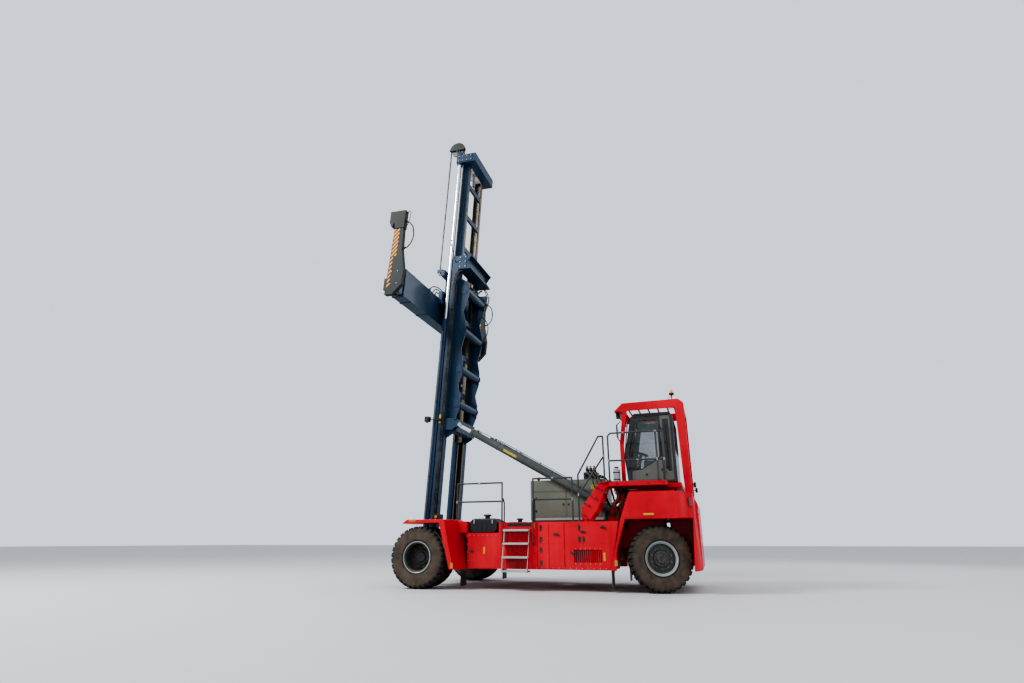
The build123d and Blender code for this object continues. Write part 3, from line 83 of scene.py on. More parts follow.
# The floor and the light: a wide pale slab, a large soft panel high on the mast's side where the sun
# stands, a weaker one behind the camera, and an even pale sky all round.
FLOOR_HALF = 150
FLOOR_COLOUR = (0.52, 0.52, 0.51, 1)
SKY_COLOUR = (0.80, 0.86, 0.95, 1)
LAMPS = (  # name, place, half width, watts
    ("key_panel", (15, 12, 19), 3.5, 4300),
    ("fill_panel", (-16, 20, 9), 6, 900),
    ("back_panel", (-12, -16, 14), 5, 900))
scene = bpy.context.scene
scene.view_settings.view_transform = "AgX"
scene.view_settings.look = "AgX - High Contrast"
scene.world = bpy.data.worlds.new("pale_sky")
scene.world.use_nodes = True
sky = scene.world.node_tree.nodes["Background"]
sky.inputs["Color"].default_value = SKY_COLOUR
sky.inputs["Strength"].default_value = 0.85
for name, place, half, watts in LAMPS:
    panel = bpy.data.lights.new(name, "AREA")
    panel.shape = "SQUARE"
    panel.size = 2 * half
    panel.energy = watts
    lamp = bpy.data.objects.new(name, panel)
    lamp.location = place
    lamp.rotation_euler = (Vector((0, 0, 4)) - Vector(place)).to_track_quat("-Z", "Y").to_euler()
    scene.collection.objects.link(lamp)
floor_mesh = bmesh.new()
bmesh.ops.create_grid(floor_mesh, x_segments=1, y_segments=1, size=FLOOR_HALF)
floor_data = bpy.data.meshes.new("studio_floor")
floor_mesh.to_mesh(floor_data)
floor_mesh.free()
floor = bpy.data.objects.new("studio_floor", floor_data)
scene.collection.objects.link(floor)
floor_paint = bpy.data.materials.new("floor_slab")
floor_paint.use_nodes = True
floor_shader = floor_paint.node_tree.nodes["Principled BSDF"]
floor_shader.inputs["Base Color"].default_value = FLOOR_COLOUR
floor_shader.inputs["Roughness"].default_value = 0.8
floor_data.materials.append(floor_paint)

# Chassis frame: two box rails cut from plate and welded, with cross members, the forks that hold the
# mast's pivot pins and the brackets of the tilt cylinders. It is sprayed in one coat of the body's red,
# which dust from the yard has dulled near the ground.
MACHINE = Matrix.Translation((2.69, 0, 0))
RED = (0.56, 0.011, 0.017)
DUST = (0.33, 0.27, 0.21)
BARE = (0.34, 0.33, 0.32)
RAIL_EDGE = 0.006
SMOOTH_ANGLE = math.radians(32)


class Shade:
    """An output socket of a material. Sums and products of it add Math nodes to that material."""

    def __init__(self, socket):
        self.socket = socket
        self.tree = socket.id_data

    @staticmethod
    def node(tree, kind, settings, sockets, output=0):
        """A node with its settings, then its sockets' values or links, as the Shade of one output."""
        made = tree.nodes.new(kind)
        for setting, value in settings.items():
            if setting == "stops":
                made.color_ramp.elements[0].position = value[0][0]
                made.color_ramp.elements[0].color = value[0][1]
                made.color_ramp.elements[1].position = value[-1][0]
                made.color_ramp.elements[1].color = value[-1][1]
                for position, colour in value[1:-1]:
                    made.color_ramp.elements.new(position).color = colour
            else:
                setattr(made, setting, value)
        for socket, value in sockets.items():
            if isinstance(value, Shade):
                tree.links.new(value.socket, made.inputs[socket])
            else:
                made.inputs[socket].default_value = value
        return Shade(made.outputs[output])

    def maths(self, operation, first, second):
        return Shade.node(self.tree, "ShaderNodeMath", {"operation": operation}, {0: first, 1: second})

    def __add__(self, other):
        return self.maths("ADD", self, other)

    def __sub__(self, other):
        return self.maths("SUBTRACT", self, other)

    def __mul__(self, other):
        return self.maths("MULTIPLY", self, other)

    def __truediv__(self, other):
        return self.maths("DIVIDE", self, other)

    def __radd__(self, other):
        return self.maths("ADD", other, self)

    def __rsub__(self, other):
        return self.maths("SUBTRACT", other, self)

    def __rmul__(self, other):
        return self.maths("MULTIPLY", other, self)

    def between(self, low, high):
        """0 at the low value and 1 at the high one, held inside 0 and 1."""
        return Shade.node(self.tree, "ShaderNodeMapRange", {"clamp": True},
                          {"Value": self, "From Min": low, "From Max": high, "To Min": 0.0, "To Max": 1.0})


def colour_mix(factor, plain, other):
    """The plain colour where the factor is 0 and the other one where it is 1."""
    rgba = [c if isinstance(c, Shade) else (*c, 1) for c in (plain, other)]
    return Shade.node(factor.tree, "ShaderNodeMix", {"data_type": "RGBA"},
                      {0: factor, 6: rgba[0], 7: rgba[1]}, 2)


def object_place(tree):
    """The place on the object, in metres."""
    return Shade.node(tree, "ShaderNodeTexCoord", {}, {}, "Object")


def mottle(place, scale, detail=3.0, stretch=None):
    """Even noise with its centre at 0.5, of that many patches in a metre, stretched per axis if asked."""
    if stretch:
        place = Shade.node(place.tree, "ShaderNodeMapping", {}, {"Vector": place, "Scale": stretch})
    pattern = {"Vector": place, "Scale": scale, "Detail": detail}
    return Shade.node(place.tree, "ShaderNodeTexNoise", {}, pattern)


def height_of(place):
    """The height over the ground, in metres."""
    return Shade.node(place.tree, "ShaderNodeSeparateXYZ", {}, {0: place}, "Z")


def finish_of(name, sockets):
    """A new material with values on its shader, and the material's shader and node tree."""
    material = bpy.data.materials.new(name)
    material.use_nodes = True
    shader = material.node_tree.nodes["Principled BSDF"]
    for socket, value in sockets.items():
        shader.inputs[socket].default_value = value
    return material, shader, material.node_tree


def feed(shader, socket, shade):
    """Joins a Shade to one socket of the shader."""
    shader.id_data.links.new(shade.socket, shader.inputs[socket])


def relief(height, strength, distance):
    """A bump normal from a height pattern."""
    return Shade.node(height.tree, "ShaderNodeBump", {},
                      {"Height": height, "Strength": strength, "Distance": distance})


def enamel(name, colour, gloss=0.32, coat=0.5, soil=0.6, chips=0.5, metallic=0.0):
    """Sprayed paint: fine orange peel, slow changes of tone, dust low down and in streaks, worn edges."""
    material, shader, tree = finish_of(name, {"Metallic": metallic, "Specular IOR Level": 0.35,
                                              "Coat Weight": coat, "Coat Roughness": 0.12})
    place = object_place(tree)
    tone = mottle(place, 0.9, 4.0)
    faded = tuple(min(1.0, c * 1.16 + 0.006) for c in colour)
    deep = tuple(c * 0.84 for c in colour)
    painted = colour_mix(tone.between(0.35, 0.65), deep, faded)
    streak = mottle(place, 3.0, 5.0, (3.0, 3.0, 0.35)).between(0.48, 0.78)
    low = 1 - height_of(place).between(0.15, 1.7)
    dusty = (low * low * 0.75 + 0.16) * soil * (streak * 0.75 + 0.25)
    fleck = mottle(place, 26.0, 6.0).between(0.56, 0.62)
    round_edge = Shade.node(tree, "ShaderNodeBevel", {"samples": 3}, {"Radius": 0.007})
    flat_edge = Shade.node(tree, "ShaderNodeNewGeometry", {}, {}, "Normal")
    facing = Shade.node(tree, "ShaderNodeVectorMath", {"operation": "DOT_PRODUCT"},
                        {0: round_edge, 1: flat_edge}, "Value")
    worn = (1 - facing).between(0.02, 0.10) * fleck * chips
    soiled = colour_mix(dusty, painted, DUST)
    feed(shader, "Base Color", colour_mix(worn, soiled, BARE))
    feed(shader, "Roughness", gloss + dusty * 0.5 + tone * 0.08)
    feed(shader, "Normal", relief(mottle(place, 210.0, 2.0), 0.05, 0.002))
    return material


def angle_of(edge):
    """How sharply two faces meet at an edge, 0 where they lie flat or where it is an open edge."""
    return edge.calc_face_angle(0.0) if len(edge.link_faces) == 2 else 0.0


def round_off(bm, edges, width, segments=2, clamp=False):
    """Rounds edges to a width, and gives back the faces that this makes."""
    return bmesh.ops.bevel(bm, geom=edges, offset=width, offset_type="OFFSET", affect="EDGES",
                           segments=segments, profile=0.5, material=-1, clamp_overlap=clamp)["faces"]


def ease_edges(bm, width, segments):
    """Rounds the sharp edges that have room for the radius on all sides."""
    room = 2.3 * width
    sharp = [e for e in bm.edges if angle_of(e) > math.radians(28) and e.calc_length() > room
             and all(near.calc_length() > room for end in e.verts for near in end.link_edges)]
    if sharp:
        round_off(bm, sharp, width, segments)


def shade_by_angle(bm):
    """Smooth faces with a crease wherever they meet sharply."""
    for face in bm.faces:
        face.smooth = True
    for edge in bm.edges:
        edge.smooth = angle_of(edge) < SMOOTH_ANGLE


def piece_of(name, bm, paint, body, place=None, stands_for=(), even=True):
    """Makes a bmesh into a piece that rides on a body, and stands for CAD nodes if any are named."""
    if place is not None:
        bmesh.ops.transform(bm, matrix=place, verts=bm.verts)
    shade_by_angle(bm)
    data = bpy.data.meshes.new(name)
    bm.to_mesh(data)
    bm.free()
    for finish in paint if isinstance(paint, (list, tuple)) else (paint,):
        data.materials.append(finish)
    piece = bpy.data.objects.new(name, data)
    scene.collection.objects.link(piece)
    if even:
        piece.modifiers.new("even_faces", "WEIGHTED_NORMAL").keep_sharp = True
    if body:
        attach(piece, body)
    if stands_for:
        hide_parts(*stands_for)
    return piece


def machine_piece(name, bm, paint, body="chassis"):
    """A piece drawn in the machine's own metres, whose origin lies on the ground under the mast."""
    return piece_of(name, bm, paint, body, MACHINE)


def weldment(node, paint, width, segments=2, pick=None):
    """The solid with its corners merged, its flat faces made whole and its edges eased. Where there
    are more paints than one, pick gives a face's paint from its middle and its normal."""
    source = nodes[node]
    bm = bmesh.new()
    bm.from_mesh(source.data)
    bmesh.ops.remove_doubles(bm, verts=bm.verts, dist=0.00002)
    bmesh.ops.dissolve_limit(bm, angle_limit=math.radians(1.0), verts=bm.verts, edges=bm.edges)
    ease_edges(bm, width, segments)
    if pick:
        for face in bm.faces:
            face.material_index = pick(face.calc_center_median() - MACHINE.translation, face.normal)
    return piece_of(f"{node}_shell", bm, paint, source["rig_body"], None, (node,))


red_paint = enamel("red_enamel", RED, 0.36, 0.12, 0.20, 0.35)
weldment("chassis_frame", red_paint, RAIL_EDGE)

# Drive axle: a cast housing with the differential's bowl in the middle and a brake drum at each end,
# bolted up to pads on the frame rails. The cover's ring of bolts and the brake hoses are fitted after
# it is sprayed in the frame's dark undercoat.
FRONT_AXLE = 0.08
AXLE_Z = 0.69
BOWL_X = FRONT_AXLE - 0.11
PAD_Z = 0.90
STEEL = (0.42, 0.41, 0.40)
BLACK = (0.018, 0.019, 0.021)
SIDES = (("left", 1), ("right", -1))


def cube_into(bm, x, y, z):
    """A box between two X, two Y and two Z values."""
    size = [abs(high - low) for low, high in (x, y, z)]
    middle = [(low + high) / 2 for low, high in (x, y, z)]
    place = Matrix.Translation(middle) @ Matrix.Diagonal((*size, 1))
    return bmesh.ops.create_cube(bm, size=1.0, matrix=place)["verts"]


def bar_into(bm, start, end, radius, sides=20, tip=None):
    """A round bar between two points, narrowed to a tip radius if asked."""
    start, end = Vector(start), Vector(end)
    turn = (end - start).to_track_quat("Z", "Y").to_matrix().to_4x4()
    place = Matrix.Translation((start + end) / 2) @ turn
    made = bmesh.ops.create_cone(bm, cap_ends=True, segments=sides, radius1=radius, matrix=place,
                                 radius2=radius if tip is None else tip, depth=(end - start).length)
    return made["verts"]


def rod_into(bm, x, y, z, radius, sides=20, tip=None):
    """A round bar along one axis: two values for that axis and one for each of the others."""
    ends = [[at[step] if isinstance(at, tuple) else at for at in (x, y, z)] for step in (0, 1)]
    return bar_into(bm, *ends, radius, sides, tip)


def bolt_into(bm, foot, out, across):
    """A hexagon head on its washer, standing out from the foot."""
    foot, out = Vector(foot), Vector(out).normalized()
    bar_into(bm, foot, foot + out * across * 0.18, across * 0.72, 12)
    bar_into(bm, foot, foot + out * across * 0.78, across * 0.5, 6, across * 0.46)


def bolts_into(bm, x, y, z, out, across):
    """Bolts at every crossing of the X, Y and Z values, each of which is one number or several."""
    for foot in itertools.product(*(at if isinstance(at, tuple) else (at,) for at in (x, y, z))):
        bolt_into(bm, foot, out, across)


def bolt_ring(bm, centre, out, radius, count, across):
    """Bolts on a circle about an axis that points out."""
    turn = Vector(out).to_track_quat("Z", "Y").to_matrix()
    for step in range(count):
        angle = 2 * math.pi * step / count
        around = turn @ Vector((math.cos(angle), math.sin(angle), 0))
        bolt_into(bm, Vector(centre) + around * radius, out, across)


def hose(name, points, radius, paint, body, place=MACHINE):
    """A fixed hose or pipe on one smooth line through the points, with a ferrule at each end."""
    curve = bpy.data.curves.new(name, "CURVE")
    curve.dimensions = "3D"
    spline = curve.splines.new("BEZIER")
    spline.bezier_points.add(len(points) - 1)
    for knot, point in zip(spline.bezier_points, points):
        knot.co = place @ Vector(point)
        knot.handle_left_type = "AUTO"
        knot.handle_right_type = "AUTO"
    curve.bevel_depth = radius
    curve.bevel_resolution = 3
    curve.resolution_u = 8
    curve.use_fill_caps = True
    line = bpy.data.objects.new(name, curve)
    scene.collection.objects.link(line)
    bpy.context.view_layer.update()
    mesh = bpy.data.meshes.new_from_object(line.evaluated_get(bpy.context.evaluated_depsgraph_get()))
    bpy.data.objects.remove(line)
    bm = bmesh.new()
    bm.from_mesh(mesh)
    bpy.data.meshes.remove(mesh)
    for end, inward in ((points[0], points[1]), (points[-1], points[-2])):
        near = place @ Vector(end)
        along = (place @ Vector(inward) - near).normalized()
        bar_into(bm, near, near + along * radius * 5, radius * 1.35, 12)
        bar_into(bm, near, near + along * radius * 2.2, radius * 1.7, 6)
    return piece_of(name, bm, paint, body, None)


def rubber(name, colour, rough=0.62, grain=90.0):
    """Moulded or extruded rubber with a fine matt grain, paler where dust has settled."""
    material, shader, tree = finish_of(name, {"Metallic": 0.0})
    place = object_place(tree)
    dust = mottle(place, 2.6, 5.0).between(0.42, 0.72) * 0.35
    feed(shader, "Base Color", colour_mix(dust, colour, DUST))
    feed(shader, "Roughness", rough + dust * 0.5)
    feed(shader, "Normal", relief(mottle(place, grain, 3.0), 0.25, 0.0015))
    return material


def metal(name, colour, rough=0.35, brushed=(1.0, 1.0, 1.0), stain=0.35):
    """Bare or plated steel: brushed grain, darker stains of oil, and dust in the hollows."""
    material, shader, tree = finish_of(name, {"Metallic": 0.9})
    place = object_place(tree)
    grain = mottle(place, 120.0, 2.0, brushed)
    oily = mottle(place, 5.0, 4.0).between(0.46, 0.74) * stain
    feed(shader, "Base Color", colour_mix(oily, colour, tuple(c * 0.35 for c in colour)))
    feed(shader, "Roughness", rough + grain * 0.18 + oily * 0.2)
    feed(shader, "Normal", relief(grain, 0.06, 0.001))
    return material


black_paint = enamel("black_undercoat", BLACK, 0.42, 0.2, 0.75, 0.6)
bolt_steel = metal("zinc_bolts", STEEL, 0.38)
hose_rubber = rubber("hose_rubber", (0.014, 0.014, 0.015), 0.5, 160.0)
weldment("drive_axle", black_paint, 0.008)
fittings = bmesh.new()
bolt_ring(fittings, (BOWL_X, 0.26, AXLE_Z), (0, 1, 0), 0.205, 14, 0.026)
bolt_ring(fittings, (BOWL_X, -0.26, AXLE_Z), (0, -1, 0), 0.205, 14, 0.026)
for _, sign in SIDES:
    bolts_into(fittings, (-0.055, 0.045), (sign * 0.465, sign * 0.535), PAD_Z, (0, 0, -1), 0.034)
    bolt_ring(fittings, (FRONT_AXLE, sign * 1.09, AXLE_Z), (0, -sign, 0), 0.17, 12, 0.024)
machine_piece("axle_bolts", fittings, bolt_steel)
BRAKE_RUN = ((-0.20, 0.50, 0.92), (-0.24, 0.62, 0.80), (-0.16, 0.86, 0.77), (-0.04, 1.05, 0.84),
             (0.02, 1.10, 0.885))
for side, sign in SIDES:
    hose(f"brake_hose_{side}", [(x, sign * y, z) for x, y, z in BRAKE_RUN], 0.011, hose_rubber, "chassis")

# Steer axle: a welded box beam with a steering cylinder along its back and a forged knuckle on a
# kingpin at each end. Plates with grease nipples close the kingpins above and below.
REAR_AXLE = -5.33
KINGPIN_Y = 1.15
STEER_REST = math.radians(18)
weldment("steer_axle", (black_paint, bolt_steel), 0.010,
         pick=lambda at, out: 1 if abs(at.y) > 0.43 and at.x < REAR_AXLE - 0.14 else 0)


def kingpin_at(sign, z=0.0):
    """The frame of a side's kingpin at a height, turned as far as its wheel is."""
    pin = Matrix.Translation((REAR_AXLE, sign * KINGPIN_Y, z))
    return MACHINE @ pin @ Matrix.Rotation(STEER_REST, 4, "Z")


for side, sign in SIDES:
    weldment(f"knuckle_{side}", black_paint, 0.008)
    caps = bmesh.new()
    for z, out in ((0.865, 1), (0.505, -1)):
        rod_into(caps, 0, 0, (z, z + out * 0.014), 0.062, 24)
        bolt_ring(caps, (0, 0, z + out * 0.012), (0, 0, out), 0.045, 4, 0.014)
        rod_into(caps, 0, 0, (z + out * 0.012, z + out * 0.030), 0.006, 8)
    bolt_ring(caps, (0, sign * 0.145, AXLE_Z), (0, sign, 0), 0.115, 8, 0.022)
    piece_of(f"kingpin_caps_{side}", caps, bolt_steel, f"knuckle_{side}", kingpin_at(sign))

# Tyres: heavy radial tyres of the 14.00-24 class. The carcass is moulded with fine rings round its
# wall and deep blocks across each shoulder, worn grey on top and brown with yard dust on the wall.
TYRE_R = 0.69
LUG_COUNT = 32
CARCASS = (  # radius, distance from the tyre's middle, round the right half from bore to tread
    (0.3150, 0.1480), (0.3610, 0.1490), (0.3720, 0.1600), (0.3860, 0.1650), (0.3930, 0.1700),
    (0.4050, 0.1705), (0.4700, 0.1780), (0.5300, 0.1800), (0.5850, 0.1760), (0.6150, 0.1690),
    (0.6420, 0.1520), (0.6560, 0.1200), (0.6620, 0.0600), (0.6625, 0.0000))
LUG_RIBS = (  # distance from the middle, foot radius, top radius, half angle, lean angle
    (0.022, 0.650, 0.6885, 0.052, -0.020),
    (0.092, 0.650, 0.6890, 0.058, 0.005),
    (0.142, 0.640, 0.6800, 0.064, 0.022),
    (0.168, 0.610, 0.6560, 0.066, 0.030),
    (0.1785, 0.585, 0.6150, 0.060, 0.032))
RUBBER = (0.020, 0.019, 0.018)
WALL_DUST = (0.125, 0.094, 0.068)


def turned(rings, steps=72, bm=None):
    """A closed round shape about the Y axis from rings of radius and place along the axis."""
    bm = bmesh.new() if bm is None else bm
    line = [bm.verts.new((radius, along, 0)) for radius, along in rings]
    edges = [bm.edges.new((a, b)) for a, b in zip(line, line[1:] + line[:1])]
    bmesh.ops.spin(bm, geom=line + edges, cent=(0, 0, 0), axis=(0, 1, 0), angle=2 * math.pi, steps=steps,
                   use_merge=True, use_duplicate=False)
    bmesh.ops.remove_doubles(bm, verts=bm.verts, dist=0.00001)
    bmesh.ops.recalc_face_normals(bm, faces=bm.faces)
    return bm


tyre_shape = turned(list(CARCASS) + [(radius, -width) for radius, width in reversed(CARCASS[:-1])], 96)
for side_of_tread in (-1, 1):
    for lug in range(LUG_COUNT):
        middle = 2 * math.pi * (lug + 0.25 * side_of_tread) / LUG_COUNT
        loops = []
        for width, foot, top, half, lean in LUG_RIBS:
            corners = ((foot, -half * 1.12), (top, -half), (top, half), (foot, half * 1.12))
            rib = []
            for radius, angle in corners:
                angle += middle + lean * side_of_tread
                rib.append(tyre_shape.verts.new((radius * math.cos(angle), side_of_tread * width,
                                                 radius * math.sin(angle))))
            loops.append([tyre_shape.edges.new((a, b)) for a, b in zip(rib, rib[1:] + rib[:1])])
        for near, far in zip(loops, loops[1:]):
            bmesh.ops.bridge_loops(tyre_shape, edges=near + far)
        for end in (loops[0], loops[-1]):
            bmesh.ops.contextual_create(tyre_shape, geom=end)
bmesh.ops.recalc_face_normals(tyre_shape, faces=tyre_shape.faces)
ring_layer = tyre_shape.verts.layers.float.new("ring_radius")
for vert in tyre_shape.verts:
    vert[ring_layer] = math.hypot(vert.co.x, vert.co.z)
tyre_data = bpy.data.meshes.new("tyre_mould")
tyre_shape.to_mesh(tyre_data)
tyre_shape.free()


def tyre_rubber():
    """Rubber whose rings, dust and wear follow the tyre's own radius."""
    material, shader, tree = finish_of("tyre_rubber", {"Metallic": 0.0, "Specular IOR Level": 0.35})
    place = object_place(tree)
    radius = Shade.node(tree, "ShaderNodeAttribute", {"attribute_name": "ring_radius"}, {}, "Fac")
    blotch = mottle(place, 7.0, 6.0)
    wall = radius.between(0.365, 0.40) * (1 - radius.between(0.60, 0.655))
    tread = radius.between(0.672, 0.687)
    ridge = Shade.node(tree, "ShaderNodeMath", {"operation": "SINE"}, {0: radius * 620.0})
    dusty = (wall * 0.74 + 0.16 + tread * 0.28) * (blotch.between(0.22, 0.66) * 0.75 + 0.25)
    fine = mottle(place, 45.0, 6.0)
    feed(shader, "Base Color", colour_mix(dusty, RUBBER, WALL_DUST))
    feed(shader, "Roughness", 0.72 + fine * 0.2)
    feed(shader, "Normal", relief(ridge * wall * 0.5 + fine * 0.6, 0.35, 0.003))
    return material


tyre_paint = tyre_rubber()
TWIN_OUT_Y = 1.895
TWIN_IN_Y = 1.475
REAR_WHEEL_Y = 1.39
REAR_FROM_PIN = REAR_WHEEL_Y - KINGPIN_Y
for side, sign in SIDES:
    front = MACHINE @ Matrix.Translation((FRONT_AXLE, 0, 0))
    for node, centre, hub, body in (
            (f"tyre_front_{side}_outer", TWIN_OUT_Y, front, f"front_wheel_{side}"),
            (f"tyre_front_{side}_inner", TWIN_IN_Y, front, f"front_wheel_{side}"),
            (f"tyre_rear_{side}", REAR_FROM_PIN, kingpin_at(sign), f"rear_wheel_{side}")):
        moulded = bmesh.new()
        moulded.from_mesh(tyre_data)
        place = hub @ Matrix.Translation((0, sign * centre, AXLE_Z))
        piece_of(f"{node}_moulded", moulded, tyre_paint, body, place, (node,))
bpy.data.meshes.remove(tyre_data)

# Wheels: pressed rims with a rolled lip and a welded disc, bolted to the hub by a ring of wheel nuts.
# The rim's lip is sprayed pale grey-green; the disc inside it and the hub that carries it are painted dark,
# which is painted shade.
RIM_GREY = (0.25, 0.30, 0.29)
# Painted shade: the dark that the discs and hubs show where they lie in shadow.
HUB_SHADE = (0.035, 0.038, 0.040)
RIM_LIP = ((0.3148, 0.1475), (0.3535, 0.1490), (0.3560, 0.1580), (0.3520, 0.1670), (0.3400, 0.1675),
           (0.3270, 0.1600), (0.3120, 0.1430), (0.2990, 0.1330), (0.2955, 0.1200))


def rim_rings(disc, hub):
    """The rim's rings from the outer lip by its disc to the back lip, the hub's rings standing out of it."""
    well = ((0.2940, disc + 0.030), (0.2860, disc + 0.018), (0.2700, disc + 0.015))
    outside = [*RIM_LIP, *well, *hub]
    inside = [(0.0, disc - 0.030), (0.2900, disc - 0.026), (0.2950, disc - 0.034)]
    if inside[-1][1] > -0.118:
        inside += [(0.2955, -0.1200)]
    inside += [(radius, -width) for radius, width in reversed(RIM_LIP[:-1])]
    return outside + inside


def two_tone(bm, radius):
    """The second paint on the faces nearer to the axis than the radius."""
    for face in bm.faces:
        middle = face.calc_center_median()
        face.material_index = 1 if math.hypot(middle.x, middle.z) < radius else 0


def nuts_into(bm, along, radius, count, across):
    """Wheel nuts with their studs' ends, on a circle about the Y axis."""
    for step in range(count):
        angle = 2 * math.pi * (step + 0.5) / count
        foot = Vector((radius * math.cos(angle), along, radius * math.sin(angle)))
        bar_into(bm, foot, foot + Vector((0, across * 0.22, 0)), across * 0.78, 14)
        bar_into(bm, foot, foot + Vector((0, across * 1.00, 0)), across * 0.5, 6, across * 0.46)
        bar_into(bm, foot, foot + Vector((0, across * 1.35, 0)), across * 0.24, 8)


def settle(bm, place):
    """Puts a shape in its place and turns its faces outwards, since the place may mirror it."""
    bmesh.ops.transform(bm, matrix=place, verts=bm.verts)
    bmesh.ops.recalc_face_normals(bm, faces=bm.faces)


OUTER_HUB = ((0.262, -0.128), (0.190, -0.128), (0.183, -0.122), (0.180, -0.100), (0.172, -0.094),
             (0.118, -0.092), (0.111, -0.088), (0.109, -0.052), (0.102, -0.046), (0.045, -0.046),
             (0.040, -0.052), (0.0, -0.052))
TWIN_HUB = ((0.262, 0.162), (0.200, 0.163), (0.0, 0.163))
REAR_HUB = ((0.256, 0.078), (0.250, 0.086), (0.182, 0.086), (0.174, 0.090), (0.167, 0.122), (0.160, 0.130),
            (0.114, 0.131), (0.107, 0.135), (0.104, 0.168), (0.097, 0.1745), (0.050, 0.1745), (0.044, 0.168),
            (0.0, 0.168))
rim_paint = enamel("rim_enamel", RIM_GREY, 0.45, 0.25, 0.9, 0.8)
hub_shade_paint = enamel("hub_shade_enamel", HUB_SHADE, 0.5, 0.1, 0.45, 0.7)
nut_steel = metal("nut_steel", (0.17, 0.165, 0.16), 0.45, stain=0.6)
for side, sign in SIDES:
    mirror = Matrix.Diagonal((1, sign, 1, 1))
    front = MACHINE @ Matrix.Translation((FRONT_AXLE, 0, AXLE_Z))
    steered = kingpin_at(sign, AXLE_Z)
    for name, rings_of_rim, centre, shade_within, hub, body, stands in (
            (f"rim_front_{side}_outer", rim_rings(-0.145, OUTER_HUB), TWIN_OUT_Y, 0.326, front,
             f"front_wheel_{side}", (f"wheel_front_{side}",)),
            (f"rim_front_{side}_inner", rim_rings(0.147, TWIN_HUB), TWIN_IN_Y, 0.326, front,
             f"front_wheel_{side}", ()),
            (f"rim_rear_{side}", rim_rings(0.060, REAR_HUB), REAR_FROM_PIN, 0.301, steered,
             f"rear_wheel_{side}", (f"wheel_rear_{side}",))):
        rim = turned(rings_of_rim)
        # Faces inside this radius, the disc and the hub, get the painted shade.
        two_tone(rim, shade_within)
        settle(rim, hub @ mirror @ Matrix.Translation((0, centre, 0)))
        piece_of(name, rim, (rim_paint, hub_shade_paint), body, None, stands, even=False)
    for end, centre, seat, radius, count, cover, flange, hub in (
            ("front", TWIN_OUT_Y, -0.128, 0.225, 12, -0.046, -0.093, front),
            ("rear", REAR_FROM_PIN, 0.086, 0.215, 10, 0.1745, 0.130, steered)):
        nuts = bmesh.new()
        nuts_into(nuts, seat, radius, count, 0.036)
        bolt_ring(nuts, (0, cover, 0), (0, 1, 0), 0.074, 8, 0.018)
        bolt_ring(nuts, (0, flange, 0), (0, 1, 0), 0.137, 12, 0.018)
        settle(nuts, hub @ mirror @ Matrix.Translation((0, centre, 0)))
        piece_of(f"wheel_nuts_{end}_{side}", nuts, nut_steel, f"{end}_wheel_{side}", None)
    hub_tube = bmesh.new()
    rod_into(hub_tube, 0, (1.262, 1.60), 0, 0.178, 40)
    bolt_ring(hub_tube, (0, 1.262, 0), (0, -1, 0), 0.150, 12, 0.022)
    settle(hub_tube, front @ mirror)
    piece_of(f"hub_drum_{side}", hub_tube, hub_shade_paint, f"front_wheel_{side}", None)

# Front fenders: folded sheet over the twin wheels, with a flank that runs back and in to the body's
# side. A rubber lip is clipped along the wheel arch, and each fender carries a rubber mat, two
# reflectors and rows of bolts.
BODY_Y = 1.65
FENDER_Y = 2.055
FENDER_TOP = 1.528
LIP_R = TYRE_R + 0.028
LIP_STEP = 6.2
AMBER = (0.85, 0.33, 0.02)
YELLOW = (0.80, 0.56, 0.02)


def reflector_glass(name, colour):
    """Moulded reflector: small prisms under a smooth clear face."""
    material, shader, tree = finish_of(name, {"Roughness": 0.18, "Coat Weight": 1.0, "Coat Roughness": 0.05})
    place = object_place(tree)
    prism = Shade.node(tree, "ShaderNodeTexVoronoi", {"distance": "MANHATTAN"},
                       {"Vector": place, "Scale": 130.0})
    deep = tuple(c * 0.55 for c in colour)
    feed(shader, "Base Color", colour_mix(prism.between(0.1, 0.6), colour, deep))
    feed(shader, "Normal", relief(prism, 0.5, 0.002))
    return material


def edges_of(verts):
    """Every edge that ends at one of the points."""
    return list({edge for vert in verts for edge in vert.link_edges})


def move_rounded(bm, faces, verts, place):
    """Moves a rounded part: the points of its new faces and those of its own that are left."""
    part = {vert for face in faces for vert in face.verts} | {vert for vert in verts if vert.is_valid}
    bmesh.ops.transform(bm, matrix=place, verts=list(part))


def plate_into(bm, x, y, z, ease=0.004, place=None):
    """A thin plate with its edges eased, set in another place if one is given."""
    verts = cube_into(bm, x, y, z)
    faces = round_off(bm, edges_of(verts), ease, clamp=True)
    if place:
        move_rounded(bm, faces, verts, place)


def flank(sign, face, low, high):
    """Two Y values on one side of the machine, so far under and over a face."""
    return sign * (face + low), sign * (face + high)


